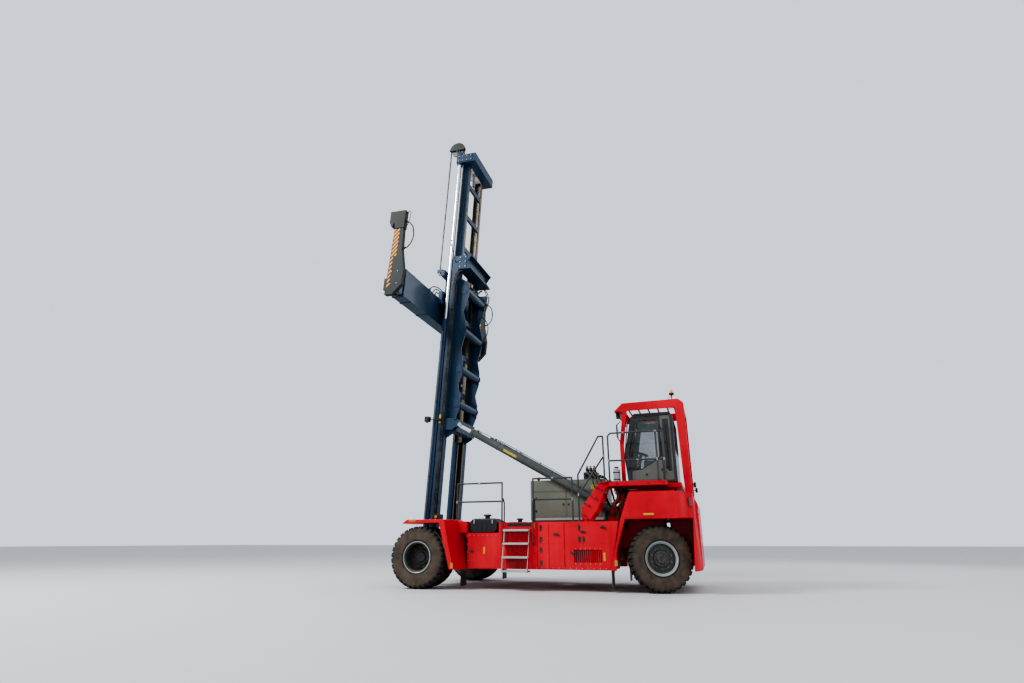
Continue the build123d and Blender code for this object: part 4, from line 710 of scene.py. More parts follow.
amber_glass = reflector_glass("amber_reflector", AMBER)
yellow_glass = reflector_glass("yellow_reflector", YELLOW)
trim_rubber = rubber("arch_rubber", (0.02, 0.02, 0.02), 0.6)
for side, sign in SIDES:
    weldment(f"front_fender_{side}", red_paint, 0.010)
    lip = bmesh.new()
    arc = [(FRONT_AXLE + LIP_R * math.cos(turn), sign * (FENDER_Y - 0.004), AXLE_Z + LIP_R * math.sin(turn))
           for turn in [math.radians(34 + step * LIP_STEP) for step in range(22)]]
    for here, there in zip(arc, arc[1:]):
        if here[0] <= -0.30 and here[2] <= FENDER_TOP - 0.10:
            bar_into(lip, here, there, 0.013, 10)
    machine_piece(f"arch_lip_{side}", lip, trim_rubber)
    marks = bmesh.new()
    plate_into(marks, (0.16, 0.34), flank(sign, FENDER_Y, -0.002, 0.004), (1.480, 1.518))
    plate_into(marks, (-0.845, -0.775), flank(sign, FENDER_Y, -0.002, 0.004), (0.455, 0.575))
    machine_piece(f"fender_reflectors_{side}", marks, amber_glass)
    rivets = bmesh.new()
    on_top = (-0.34, -0.20, -0.06, 0.08, 0.22, 0.36)
    bolts_into(rivets, on_top, (sign * 1.34, sign * 2.02), FENDER_TOP, (0, 0, 1), 0.020)
    bolts_into(rivets, -1.012, sign * 1.62, (0.62, 0.80, 0.98, 1.16), (0, sign, 0), 0.016)
    machine_piece(f"fender_bolts_{side}", rivets, bolt_steel)
    mat = bmesh.new()
    plate_into(mat, (-0.50, 0.36), (sign * 1.40, sign * 1.98), (FENDER_TOP - 0.001, FENDER_TOP + 0.004))
    machine_piece(f"fender_mat_{side}", mat, trim_rubber)

# Side cabinets: flush sheet doors on strap hinges, closed by turn handles, over the battery and cooling
# gear. The rear door has a row of slats with a dark screen behind, and a row of screws at its foot.
GRILLE = (-4.19, -3.58, 0.60, 0.86)
PANELS = (  # back, front, foot, top
    (-3.355, -3.025, 0.985, 1.41), (-3.355, -3.025, 0.465, 0.970),
    (-2.995, -2.755, 0.985, 1.41), (-2.995, -2.755, 0.465, 0.970),
    (-4.420, -3.385, 0.985, 1.41), (-1.780, -1.050, 0.475, 1.20), (-2.725, -2.620, 0.465, 1.41))
HANDLES = ((-3.18, 1.19), (-3.80, 1.24), (-4.25, 1.33), (-3.56, 0.80), (-1.12, 0.84))
HINGES = ((-2.81, 1.33), (-2.81, 1.08), (-3.70, 1.33), (-3.70, 1.08), (-3.80, 1.08), (-2.81, 0.86),
          (-2.81, 0.58))
SCREW_ROWS = (  # first X, pitch, count, height, proud of the side, size
    (-4.40, 0.13, 14, 0.48, 0.0, 0.013),
    (GRILLE[0] + 0.03, 0.11, 6, GRILLE[3] + 0.024, 0.0, 0.012),
    (GRILLE[0] + 0.03, 0.11, 6, GRILLE[2] - 0.024, 0.0, 0.012),
    (-1.74, 0.11, 7, 1.17, 0.003, 0.012))
DOOR_MARKS = (  # middle in X and Z, half length and half height
    (-1.450, 0.840, 0.022, 0.075), (-4.250, 0.720, 0.024, 0.085), (-2.655, 1.375, 0.018, 0.055))


def cabinet_paint(at, out):
    """Black for hinges, handles and the screen behind the slats, else the body's red."""
    proud = abs(at.y) > BODY_Y + 0.003
    behind = abs(at.y) < BODY_Y - 0.036 and GRILLE[0] < at.x < GRILLE[1] and GRILLE[2] < at.z < GRILLE[3]
    return 1 if proud or behind else 0


for side, sign in SIDES:
    weldment(f"side_cabinet_{side}", (red_paint, black_paint), 0.004, pick=cabinet_paint)
    doors = bmesh.new()
    for back, fore, foot, top in PANELS:
        plate_into(doors, (back, fore), flank(sign, BODY_Y, -0.004, 0.0035), (foot, top), 0.003)
    machine_piece(f"door_panels_{side}", doors, red_paint)
    furniture = bmesh.new()
    foot, knob = flank(sign, BODY_Y, -0.002, 0.018)
    pin, grip = flank(sign, BODY_Y, 0.010, 0.026)
    for x, z in HANDLES:
        rod_into(furniture, x, (foot, knob), z, 0.034, 20)
        bar_into(furniture, (x - 0.055, grip, z - 0.01), (x + 0.055, grip, z + 0.012), 0.010, 10)
    for x, z in HINGES:
        rod_into(furniture, x, pin, (z - 0.058, z + 0.058), 0.013, 12)
        leaf = (x - 0.045, x + 0.004)
        plate_into(furniture, leaf, flank(sign, BODY_Y, 0, 0.007), (z - 0.045, z + 0.045), 0.002)
    machine_piece(f"door_furniture_{side}", furniture, black_paint)
    screws = bmesh.new()
    for first, pitch, count, z, proud, across in SCREW_ROWS:
        for column in range(count):
            bolt_into(screws, (first + column * pitch, sign * (BODY_Y + proud), z), (0, sign, 0), across)
    machine_piece(f"door_screws_{side}", screws, bolt_steel)
    marks = bmesh.new()
    for x, z, half, rise in DOOR_MARKS:
        plate_into(marks, (x - half, x + half), flank(sign, BODY_Y, 0, 0.008), (z - rise, z + rise), 0.002)
    machine_piece(f"door_reflectors_{side}", marks, yellow_glass)

# Dark boxes: rotational mouldings in black plastic over the cooling gear, with a raised lid, two clips
# on the outer side and a snorkel cap on top.
def moulded(name, colour, rough=0.5):
    """Moulded plastic with a leather-fine grain and dust on its upper faces."""
    material, shader, tree = finish_of(name, {"Metallic": 0.0, "Specular IOR Level": 0.4})
    place = object_place(tree)
    upward = height_of(Shade.node(tree, "ShaderNodeNewGeometry", {}, {}, "Normal"))
    dust = upward.between(0.5, 1.0) * mottle(place, 6.0, 5.0).between(0.3, 0.7) * 0.4
    feed(shader, "Base Color", colour_mix(dust, colour, DUST))
    feed(shader, "Roughness", rough + dust * 0.6)
    feed(shader, "Normal", relief(mottle(place, 240.0, 2.0), 0.2, 0.001))
    return material


black_plastic = moulded("black_plastic", (0.022, 0.023, 0.025))
grey_plastic = moulded("grey_plastic", (0.10, 0.105, 0.105), 0.45)
for side, sign in SIDES:
    weldment(f"dark_box_{side}", black_plastic, 0.022, 3)
    lid = bmesh.new()
    plate_into(lid, (-1.64, -1.14), (sign * 1.06, sign * 1.53), (1.53, 1.556), 0.010)
    for column in range(4):
        x = -1.60 + column * 0.115
        plate_into(lid, (x, x + 0.035), (sign * 1.588, sign * 1.596), (1.30, 1.46), 0.003)
    rod_into(lid, -1.39, sign * 1.30, (1.55, 1.62), 0.060, 32)
    rod_into(lid, -1.39, sign * 1.30, (1.615, 1.655), 0.105, 32, 0.085)
    machine_piece(f"box_lid_{side}", lid, black_plastic)
    clips = bmesh.new()
    for x in (-1.62, -1.16):
        plate_into(clips, (x - 0.014, x + 0.014), (sign * 1.588, sign * 1.602), (1.43, 1.52), 0.002)
        bolt_into(clips, (x, sign * 1.60, 1.445), (0, sign, 0), 0.014)
    machine_piece(f"box_clips_{side}", clips, bolt_steel)

# Access steps: pressed treads between two flat stringers, sprayed grey-green. Each tread has three rows of
# raised teeth and a bolt at each end, and grab rails stand on both sides.
TREAD_ROWS = ((1.275, 1.790), (0.985, 1.830), (0.695, 1.870), (0.405, 1.900))
STEP_X = (-2.56, -1.96)
TREAD_GREEN = (0.33, 0.40, 0.38)
GRIP_BENDS = ((-0.002, 0.98), (0.055, 1.02), (0.055, 1.90), (-0.02, 1.99), (-0.10, 1.90), (-0.10, 1.458))
step_paint = enamel("step_enamel", TREAD_GREEN, 0.5, 0.1, 0.9, 1.0)
weldment("access_steps", (step_paint, red_paint), 0.003,
         pick=lambda at, out: 1 if abs(out.x) > 0.9 and not STEP_X[0] < at.x < STEP_X[1] else 0)
teeth = bmesh.new()
for _, sign in SIDES:
    for z, far in TREAD_ROWS:
        for row in range(3):
            y = sign * (far - 0.022 - row * 0.058)
            for column in range(20):
                x = STEP_X[0] + 0.02 + column * 0.0295
                rod_into(teeth, x, y, (z + 0.016, z + 0.026), 0.0085, 6, 0.006)
        for x in STEP_X:
            out = 1 if x == STEP_X[1] else -1
            bolt_into(teeth, (x + out * 0.006, sign * (far - 0.05), z), (out, 0, 0), 0.018)
machine_piece("tread_teeth", teeth, step_paint)
# The darker red behind the screen slats is painted shade: the shadow that the steps cast on the body.
step_shadow_red = enamel("step_shadow_enamel", tuple(c * 0.35 for c in RED), 0.5, 0.1, 0.4, 0.3)
for side, sign in SIDES:
    screens = bmesh.new()
    backs = bmesh.new()
    for low, high in ((1.035, 1.245), (0.745, 0.955), (0.470, 0.665)):
        plate_into(backs, (-2.53, -1.99), flank(sign, BODY_Y, -0.001, 0.0015), (low, high), 0.0005)
        for column in range(26):
            x = -2.52 + column * 0.0208
            cube_into(screens, (x - 0.0055, x + 0.0055), flank(sign, BODY_Y, 0, 0.006), (low, high))
    machine_piece(f"step_screens_{side}", screens, red_paint)
    machine_piece(f"shadowed_screen_backs_{side}", backs, step_shadow_red)
    plaque = bmesh.new()
    plate_into(plaque, (-2.60, -2.02), flank(sign, BODY_Y, -0.001, 0.005), (1.365, 1.440), 0.002)
    machine_piece(f"step_plaque_{side}", plaque, black_plastic)
    grips = bmesh.new()
    for x in (-2.655, -1.905):
        bends = [(x, sign * (BODY_Y + out), z) for out, z in GRIP_BENDS]
        for start, end in zip(bends, bends[1:]):
            bar_into(grips, start, end, 0.0155, 16)
            bmesh.ops.create_icosphere(grips, subdivisions=2, radius=0.0155, matrix=Matrix.Translation(end))
        post, low, high = (sign * (BODY_Y + out) for out in (-0.10, -0.001, 0.008))
        rod_into(grips, x, post, (1.459, 1.470), 0.040, 24)
        bar_into(grips, (x, low, 0.98), (x, high, 0.983), 0.034, 24)
    machine_piece(f"step_grips_{side}", grips, black_paint)

# Battery box: a sheet cabinet of cells on a plinth, sprayed dark grey-green, with flat doors, corner
# posts, lifting eyes and louvres towards the mast.
BATTERY_Y = 0.60
BATTERY_X = (-4.135, -2.280)
BOX_GREEN = (0.150, 0.172, 0.134)
box_paint = enamel("battery_enamel", BOX_GREEN, 0.42, 0.3, 0.5, 0.5)
weldment("battery_box", box_paint, 0.008)
panels = bmesh.new()
for _, sign in SIDES:
    y = flank(sign, BATTERY_Y, -0.002, 0.006)
    for back, fore in ((-4.07, -3.235), (-3.175, -2.35)):
        plate_into(panels, (back, fore), y, (1.60, 2.175), 0.004)
        plate_into(panels, (back, fore), y, (2.225, 2.44), 0.004)
    for x, inward in zip(BATTERY_X, (0.05, -0.05)):
        plate_into(panels, (x, x + inward), flank(sign, BATTERY_Y, -0.05, 0.010), (1.53, 2.488), 0.004)
for step in range(9):
    z = 1.66 + step * 0.08
    plate_into(panels, (BATTERY_X[1] - 0.004, BATTERY_X[1] + 0.012), (-0.42, 0.42), (z, z + 0.04))
machine_piece("battery_panels", panels, box_paint)
locks = bmesh.new()
for _, sign in SIDES:
    face, knob, lever = (sign * (BATTERY_Y + out) for out in (0.004, 0.020, 0.018))
    for x, z in ((-4.00, 1.75), (-4.00, 2.05), (-3.25, 1.90), (-3.12, 1.90), (-2.42, 1.75), (-2.42, 2.05)):
        rod_into(locks, x, (face, knob), z, 0.020, 16)
        rod_into(locks, x, lever, (z - 0.03, z + 0.03), 0.006, 8)
for x, y in ((-3.95, -0.48), (-2.46, -0.48), (-2.46, 0.48)):
    rod_into(locks, x, y, (2.488, 2.515), 0.030, 16)
    bmesh.ops.create_cone(locks, cap_ends=True, segments=20, radius1=0.040, radius2=0.040, depth=0.018,
                          matrix=Matrix.Translation((x, y, 2.545)) @ Matrix.Rotation(math.pi / 2, 4, "X"))
machine_piece("battery_locks", locks, black_paint)
foot = bmesh.new()
for _, sign in SIDES:
    plate_into(foot, (-4.10, -2.32), flank(sign, BATTERY_Y, -0.001, 0.016), (1.525, 1.585), 0.003)
machine_piece("battery_skirt", foot, step_paint)
mark = bmesh.new()
plate_into(mark, (-3.93, -3.83), (BATTERY_Y + 0.004, BATTERY_Y + 0.008), (2.25, 2.35), 0.001)
machine_piece("battery_mark", mark, yellow_glass)

# Counterweight: a heavy iron casting that is also the machine's tail, ground, filled and sprayed in the
# body's red. Four plugs cover its lifting threads, and a tow pin stands in a jaw at the back.
COUNTER_Y = 1.70
weldment("counterweight", red_paint, 0.022, 3)
trim = bmesh.new()
for _, sign in SIDES:
    plate_into(trim, (-5.37, -5.15), flank(sign, COUNTER_Y, -0.002, 0.006), (1.575, 1.615), 0.002)
machine_piece("tail_reflectors", trim, yellow_glass)
trim = bmesh.new()
for _, sign in SIDES:
    plate_into(trim, (-4.535, -4.470), flank(sign, COUNTER_Y, -0.002, 0.006), (0.535, 0.655), 0.003)
machine_piece("strip_reflectors", trim, amber_glass)
castings = bmesh.new()
for x in (-5.05, -5.62):
    for y in (-1.25, 1.25):
        rod_into(castings, x, y, (2.078, 2.090), 0.055, 24)
        rod_into(castings, x, y, (2.088, 2.098), 0.022, 6)
rod_into(castings, -6.255, 0, (0.93, 1.15), 0.026, 20)
machine_piece("casting_plugs", castings, bolt_steel)
tow = bmesh.new()
for z in (0.945, 1.115):
    plate_into(tow, (-6.288, -6.215), (-0.13, 0.13), (z, z + 0.020), 0.004)
machine_piece("tow_jaw", tow, black_paint)

# Mudflaps: plain rubber sheet, stiff enough to hang flat, clamped under the body by a steel strip.
flap_rubber = rubber("flap_rubber", (0.022, 0.021, 0.020), 0.6, 60.0)
weldment("mudflaps", flap_rubber, 0.004)
strips = bmesh.new()
for _, sign in SIDES:
    for x, low, inner in ((-0.871, 0.385, 1.31), (-4.391, 0.40, 1.33)):
        plate_into(strips, (x - 0.014, x + 0.014), (sign * inner, sign * 1.64), (low, low + 0.040), 0.002)
        for column in range(4):
            y = inner + 0.04 + column * (1.56 - inner) / 3
            bolt_into(strips, (x - 0.014, sign * y, low + 0.02), (-1, 0, 0), 0.016)
machine_piece("flap_strips", strips, black_paint)

# Stairs and platform: the deck frame round the cab and the stairs up to it are folded red plate. The deck
# and the treads are open grating, and the stair brackets are bolted on with rows of large screws.
PLATFORM_Z = 2.32
PLATFORM_Y = 1.60
TREADS = ((-3.89, 1.68), (-4.04, 1.89), (-4.19, 2.10))
STAIR_SCREWS = ((-3.82, 1.60), (-3.83, 1.86), (-3.93, 1.80), (-3.98, 2.02), (-4.09, 1.96), (-4.13, 2.20),
                (-4.24, 2.14), (-3.88, 1.50), (-3.78, 1.50))
grating_steel = metal("grating_steel", (0.20, 0.21, 0.21), 0.5, stain=0.7)
weldment("cab_stairs", (red_paint, step_paint), 0.003,
         pick=lambda at, out: 1 if 1.03 < at.y < 1.47 else 0)
weldment("cab_platform", red_paint, 0.008)
grating = bmesh.new()
for step in range(41):
    x = -5.66 + step * 0.030
    cube_into(grating, (x, x + 0.004), (-0.88, 1.58), (PLATFORM_Z - 0.002, PLATFORM_Z + 0.010))
for step in range(25):
    y = -0.86 + step * 0.10
    cube_into(grating, (-5.67, -4.44), (y, y + 0.006), (PLATFORM_Z - 0.002, PLATFORM_Z + 0.007))
for x, z in TREADS:
    for step in range(7):
        y = 1.04 + step * 0.07
        cube_into(grating, (x - 0.105, x + 0.085), (y, y + 0.006), (z + 0.010, z + 0.018))
machine_piece("deck_grating", grating, grating_steel)
screws = bmesh.new()
for y, out in ((1.515, 1), (0.985, -1)):
    for x, z in STAIR_SCREWS:
        bolt_into(screws, (x, y, z), (0, out, 0), 0.030)
bolts_into(screws, (-4.60, -4.95, -5.30, -5.62), PLATFORM_Y, PLATFORM_Z - 0.055, (0, 1, 0), 0.022)
machine_piece("stair_screws", screws, black_paint)

# Cab guard: four pillars and a roof frame of folded plate that keep falling fittings off the cab, with
# a visor in front and bars over the roof window.
weldment("cab_guard", red_paint, 0.012)

# Cab: a welded steel cell with glass on all sides. Its frame is sprayed dark grey-green, the panes are
# bonded in behind black rubber, and wipers, rain gutters and a grab rail are screwed on outside.
CAB_Y = 0.74
CAB_GREY = (0.125, 0.130, 0.112)
cab_paint = enamel("cab_enamel", CAB_GREY, 0.38, 0.35, 0.5, 0.3)
frit = enamel("printed_edge", (0.012, 0.013, 0.014), 0.10, 1.0, 0.15, 0.0)
seal_rubber = rubber("window_seal", (0.012, 0.012, 0.013), 0.45)


def cab_paints(at, out):
    """Printed glass edge on the left side, black mouldings in front and over the roof, enamel elsewhere."""
    if at.y > CAB_Y - 0.003:
        return 2
    return 1 if at.x > -4.95 and at.z > 2.9 or at.z > 3.97 else 0


weldment("cab_shell", (cab_paint, black_plastic, frit), 0.010, pick=cab_paints)
weldment("cab_post", (cab_paint, black_paint), 0.006,
         pick=lambda at, out: 1 if at.y > CAB_Y else 0)
weldment("cab_door", (frit, black_paint), 0.006,
         pick=lambda at, out: 1 if at.y > CAB_Y + 0.002 else 0)


def frame_round(bm, corners, radius):
    """A round rubber bead from corner to corner."""
    for start, end in zip(corners, corners[1:] + corners[:1]):
        bar_into(bm, start, end, radius, 8)
        bmesh.ops.create_icosphere(bm, subdivisions=1, radius=radius, matrix=Matrix.Translation(end))


DOOR_PANE = ((-4.930, 2.780), (-4.885, 2.960), (-5.040, 3.800), (-5.075, 3.840), (-5.540, 3.840),
             (-5.540, 2.940), (-5.100, 2.660), (-4.960, 2.660))
SIDE_WINDOW = ((-4.86, 2.56), (-4.82, 2.96), (-4.985, 3.83), (-5.60, 3.83), (-5.60, 2.86), (-5.20, 2.60))
CROSS_WINDOWS = (  # X at foot and top, half width, foot, top, bead
    (-5.900, -5.900, 0.65, 3.10, 3.84, 0.012), (-4.700, -4.823, 0.68, 2.96, 3.86, 0.013),
    (-4.742, -4.708, 0.62, 2.56, 2.90, 0.011))
beads = bmesh.new()
frame_round(beads, [(x, -CAB_Y + 0.004, z) for x, z in SIDE_WINDOW], 0.012)
for foot_x, top_x, half, low, high, bead in CROSS_WINDOWS:
    foot = [(foot_x, -half, low), (foot_x, half, low)]
    frame_round(beads, foot + [(top_x, half, high), (top_x, -half, high)], bead)
machine_piece("cab_beads", beads, seal_rubber)
beads = bmesh.new()
frame_round(beads, [(x, CAB_Y - 0.003, z) for x, z in DOOR_PANE], 0.014)
machine_piece("door_bead", beads, seal_rubber, "cab_door")


def pane_glass():
    """Faintly green safety glass, clear enough to see the seat, with a patchy film of dust."""
    look = {"Base Color": (0.10, 0.13, 0.13, 1), "Metallic": 0.0, "IOR": 1.45, "Coat Weight": 1.0,
            "Coat Roughness": 0.02}
    material, shader, tree = finish_of("safety_glass", look)
    place = object_place(tree)
    film = mottle(place, 3.0, 5.0).between(0.45, 0.75)
    feed(shader, "Roughness", film * 0.12 + 0.04)
    feed(shader, "Alpha", film * 0.10 + 0.30)
    return material


glass_paint = pane_glass()
for node in ("cab_glass", "door_glass"):
    nodes[node].data.materials.clear()
    nodes[node].data.materials.append(glass_paint)
fixtures = bmesh.new()
for y, tip_y, tip_z in ((-0.30, -0.05, 3.62), (0.42, 0.30, 3.50)):
    bar_into(fixtures, (-4.735, y, 2.95), (-4.80, tip_y, tip_z), 0.009, 8)
    bar_into(fixtures, (-4.77, tip_y - 0.02, tip_z - 0.30), (-4.82, tip_y + 0.02, tip_z + 0.16), 0.008, 8)
    rod_into(fixtures, (-4.755, -4.700), y, 2.95, 0.022, 16)
for z in (3.06, 3.70):
    rod_into(fixtures, -5.72, (CAB_Y - 0.01, CAB_Y + 0.05), z, 0.010, 10)
rod_into(fixtures, -5.72, CAB_Y + 0.05, (3.06, 3.70), 0.013, 12)
for _, sign in SIDES:
    cube_into(fixtures, (-5.86, -5.00), flank(sign, CAB_Y, -0.01, 0.018), (3.955, 3.967))
machine_piece("cab_fixtures", fixtures, black_plastic)
panel = bmesh.new()
rod_into(panel, -5.20, (CAB_Y, CAB_Y + 0.010), 2.53, 0.024, 24)
rod_into(panel, -4.862, CAB_Y + 0.036, (2.97, 3.19), 0.011, 10)
for z in (2.98, 3.18):
    rod_into(panel, -4.862, (CAB_Y - 0.01, CAB_Y + 0.036), z, 0.009, 8)
machine_piece("door_trim", panel, black_plastic, "cab_door")


def sheet_into(bm, outline, y, ease=0.003):
    """A flat sheet with the given outline in X and Z, between two Y values, its front edges eased."""
    corners = [bm.verts.new((x, y[0], z)) for x, z in outline]
    base = bm.faces.new(corners)
    raised = bmesh.ops.extrude_face_region(bm, geom=[base])["geom"]
    lifted = [item for item in raised if isinstance(item, bmesh.types.BMVert)]
    bmesh.ops.translate(bm, vec=(0, y[1] - y[0], 0), verts=lifted)
    round_off(bm, [edge for edge in edges_of(lifted) if all(end in lifted for end in edge.verts)], ease)
    bmesh.ops.recalc_face_normals(bm, faces=bm.faces)


SWOOP = ((-5.585, 2.955), (-5.50, 2.895), (-5.40, 2.825), (-5.28, 2.752), (-5.15, 2.690), (-5.02, 2.645),
         (-4.93, 2.628), (-4.868, 2.622), (-4.852, 2.412), (-5.585, 2.412))
swoop = bmesh.new()
sheet_into(swoop, SWOOP, (CAB_Y - 0.004, CAB_Y + 0.006))
machine_piece("door_swoop", swoop, cab_paint, "cab_door")
quarter = bmesh.new()
sheet_into(quarter, ((-5.655, 2.66), (-5.655, 3.84), (-5.795, 3.84), (-5.795, 2.60), (-5.72, 2.60)),
           (CAB_Y - 0.004, CAB_Y + 0.003))
machine_piece("quarter_light", quarter, frit)

# Outer mast: rolled channels open inwards, welded to a head beam, round cross tubes and wavy side plates,
# sprayed dark grey. Its blue here is painted shade, the tint of shadow lit by the sky. The rollers have
# polished their tracks, and hoses run up the outer faces in clamps.
MAST = MACHINE @ Matrix.Translation((0.07, 0, 1.1)) @ Matrix.Rotation(math.radians(-3), 4, "Y")
# Dark grey paint tinted blue as it looks in sky-lit shade: the blue is painted shade.
MAST_SKY_SHADE = (0.008, 0.038, 0.080)
OUT_Y = 0.80
WORK_LAMP_Z = 3.07
SEAM_Z = (1.15, 2.55, 4.55, 6.35)
TUBE_ENDS = ((6.99, -0.03, 0.155), (5.72, -0.06, 0.128), (4.56, -0.06, 0.128), (3.56, -0.06, 0.128))
LANES = (("left", 1, (0.205, 0.241, 0.277)), ("right", -1, (0.223, 0.262)))
LOOPS = (
    ((-0.10, -0.70, 7.60), (-0.20, -0.72, 7.40), (-0.22, -0.76, 7.12), (-0.12, -0.74, 6.92),
     (0.02, -0.68, 6.99)),
    ((-0.10, -0.62, 6.60), (-0.26, -0.66, 6.42), (-0.30, -0.69, 6.10), (-0.20, -0.68, 5.88),
     (-0.02, -0.66, 5.80)),
    ((-0.05, -0.66, 7.60), (-0.15, -0.69, 7.42), (-0.17, -0.71, 7.20), (-0.08, -0.70, 7.06),
     (0.04, -0.67, 7.05)))
CABLE_HOOK = ((0.27, 0.79, 7.84), (0.27, 0.86, 7.90), (0.28, 1.17, 8.22), (0.28, 1.20, 8.27),
              (0.28, 1.20, 8.40))


def on_mast(at):
    """A point of the machine in the mast's own frame, which leans back with it."""
    return MAST.inverted() @ (MACHINE @ at)


def mast_piece(name, bm, paint, body="mast"):
    """A piece drawn in the leaning mast's own metres."""
    return piece_of(name, bm, paint, body, MAST)


def outer_paint(at, out):
    """Polished roller tracks inside the channels, enamel elsewhere."""
    here = on_mast(at)
    return 1 if 0.598 < abs(here.y) < 0.772 and 0.19 < here.x < 0.345 else 0


mast_shade_paint = enamel("mast_shade_enamel", MAST_SKY_SHADE, 0.42, 0.1, 0.20, 0.9)
track_steel = metal("track_steel", (0.17, 0.150, 0.128), 0.40, (5.0, 5.0, 0.3), 0.6)
weldment("outer_mast", (mast_shade_paint, track_steel), 0.003, pick=outer_paint)
weldment("mast_lamps", black_plastic, 0.006)
caps = bmesh.new()
for _, sign in SIDES:
    for z, x, radius in TUBE_ENDS:
        rod_into(caps, x, (sign * 0.652, sign * 0.664), z, radius, 36, radius - 0.012)
        rod_into(caps, x, (sign * 0.648, sign * 0.670), z, radius * 0.62, 28)
    for z in (-0.655, -0.045, 0.90, 2.10, 7.55):
        cube_into(caps, (0.166, 0.174), (sign * 0.61, sign * 0.79), (z - 0.045, z + 0.045))
    for z in SEAM_Z:
        cube_into(caps, (0.185, 0.300), flank(sign, OUT_Y, -0.002, 0.010), (z - 0.035, z + 0.035))
    cube_into(caps, (-0.088, 0.150), (sign * 0.815, sign * 0.828), (7.62, 8.03))
    cube_into(caps, (-0.008, 0.008), (sign * 0.67, sign * 0.81), (7.602, 8.05))
for low in (7.602, 8.032):
    cube_into(caps, (-0.232, -0.088), (-0.795, 0.795), (low, low + 0.016))
mast_piece("mast_plates", caps, mast_shade_paint)
studs = bmesh.new()
for _, sign in SIDES:
    out = (0, sign, 0)
    rod_into(studs, 0, (sign * 0.750, sign * 0.768), 0, 0.062, 28)
    bolt_ring(studs, (0, sign * 0.766, 0), out, 0.040, 4, 0.016)
    rod_into(studs, -0.255, (sign * 0.772, sign * 0.788), 2.945, 0.052, 28)
    bolt_ring(studs, (-0.255, sign * 0.787, 2.945), out, 0.030, 3, 0.014)
    bolts_into(studs, (0.205, 0.280), sign * (OUT_Y + 0.010), SEAM_Z, out, 0.020)
    bolts_into(studs, (0.400, 0.500), (sign * 0.63, sign * 0.77), -0.626, (0, 0, 1), 0.026)
    bolts_into(studs, 0.500, (sign * 0.625, sign * 0.775), (5.92, 5.97), (1, 0, 0), 0.022)
    bolts_into(studs, (0.12, -0.055), sign * 0.828, (7.68, 7.83, 7.98), out, 0.024)
bolts_into(studs, -0.120, (-0.55, -0.20, 0.20, 0.55), (2.83, 3.07), (-1, 0, 0), 0.024)
mast_piece("mast_studs", studs, bolt_steel)
for name, sign, lanes in LANES:
    for number, x in enumerate(lanes):
        run = [(x - 0.05, sign * 0.79, -0.70), (x, sign * 0.826, -0.45)]
        run += [(x, sign * 0.826, z) for z in SEAM_Z]
        run += [(x, sign * 0.826, 7.20), (x - 0.10, sign * 0.815, 7.52), (x - 0.20, sign * 0.79, 7.56)]
        hose(f"mast_hose_{name}_{number}", run, 0.0125, hose_rubber, "mast", MAST)
    clamps = bmesh.new()
    width = (lanes[0] - 0.022, lanes[-1] + 0.022)
    for z in SEAM_Z:
        cube_into(clamps, width, (sign * 0.809, sign * 0.842), (z - 0.016, z + 0.016))
    mast_piece(f"hose_clamps_{name}", clamps, black_plastic)
for number, loop in enumerate(LOOPS):
    hose(f"mast_loop_{number}", loop, 0.014, hose_rubber, "mast", MAST)
hose("cable_hook", CABLE_HOOK, 0.010, black_paint, "mast", MAST)
lenses = bmesh.new()
fins = bmesh.new()
low, high = WORK_LAMP_Z - 0.055, WORK_LAMP_Z + 0.055
for _, sign in SIDES:
    cube_into(lenses, (0.7245, 0.7290), (sign * 0.842, sign * 0.938), (low, high))
    for step in range(6):
        z = low + step * 0.022
        cube_into(fins, (0.568, 0.601), (sign * 0.838, sign * 0.942), (z - 0.003, z + 0.003))
    rod_into(fins, 0.66, sign * 0.89, (WORK_LAMP_Z - 0.10, WORK_LAMP_Z - 0.069), 0.022, 16)


def lamp_glass(name, colour, glow=0.0):
    """A lamp's moulded cover, with fine flutes under a smooth face."""
    look = {"Roughness": 0.14, "Coat Weight": 1.0, "Coat Roughness": 0.04,
            "Emission Color": (*colour, 1), "Emission Strength": glow}
    material, shader, tree = finish_of(name, look)
    place = object_place(tree)
    flute = Shade.node(tree, "ShaderNodeTexWave", {"bands_direction": "Z"}, {"Vector": place, "Scale": 40.0})
    feed(shader, "Base Color", colour_mix(flute * 0.5, colour, tuple(c * 0.6 for c in colour)))
    feed(shader, "Normal", relief(flute, 0.4, 0.002))
    return material


clear_glass = lamp_glass("lamp_clear", (0.62, 0.64, 0.62))
mast_piece("work_lenses", lenses, clear_glass)
mast_piece("work_lamp_fins", fins, black_plastic)
marks = bmesh.new()
for _, sign in SIDES:
    cube_into(marks, (0.300, 0.362), flank(sign, OUT_Y, 0, 0.002), (2.98, 3.22))
mast_piece("mast_marks", marks, yellow_glass)

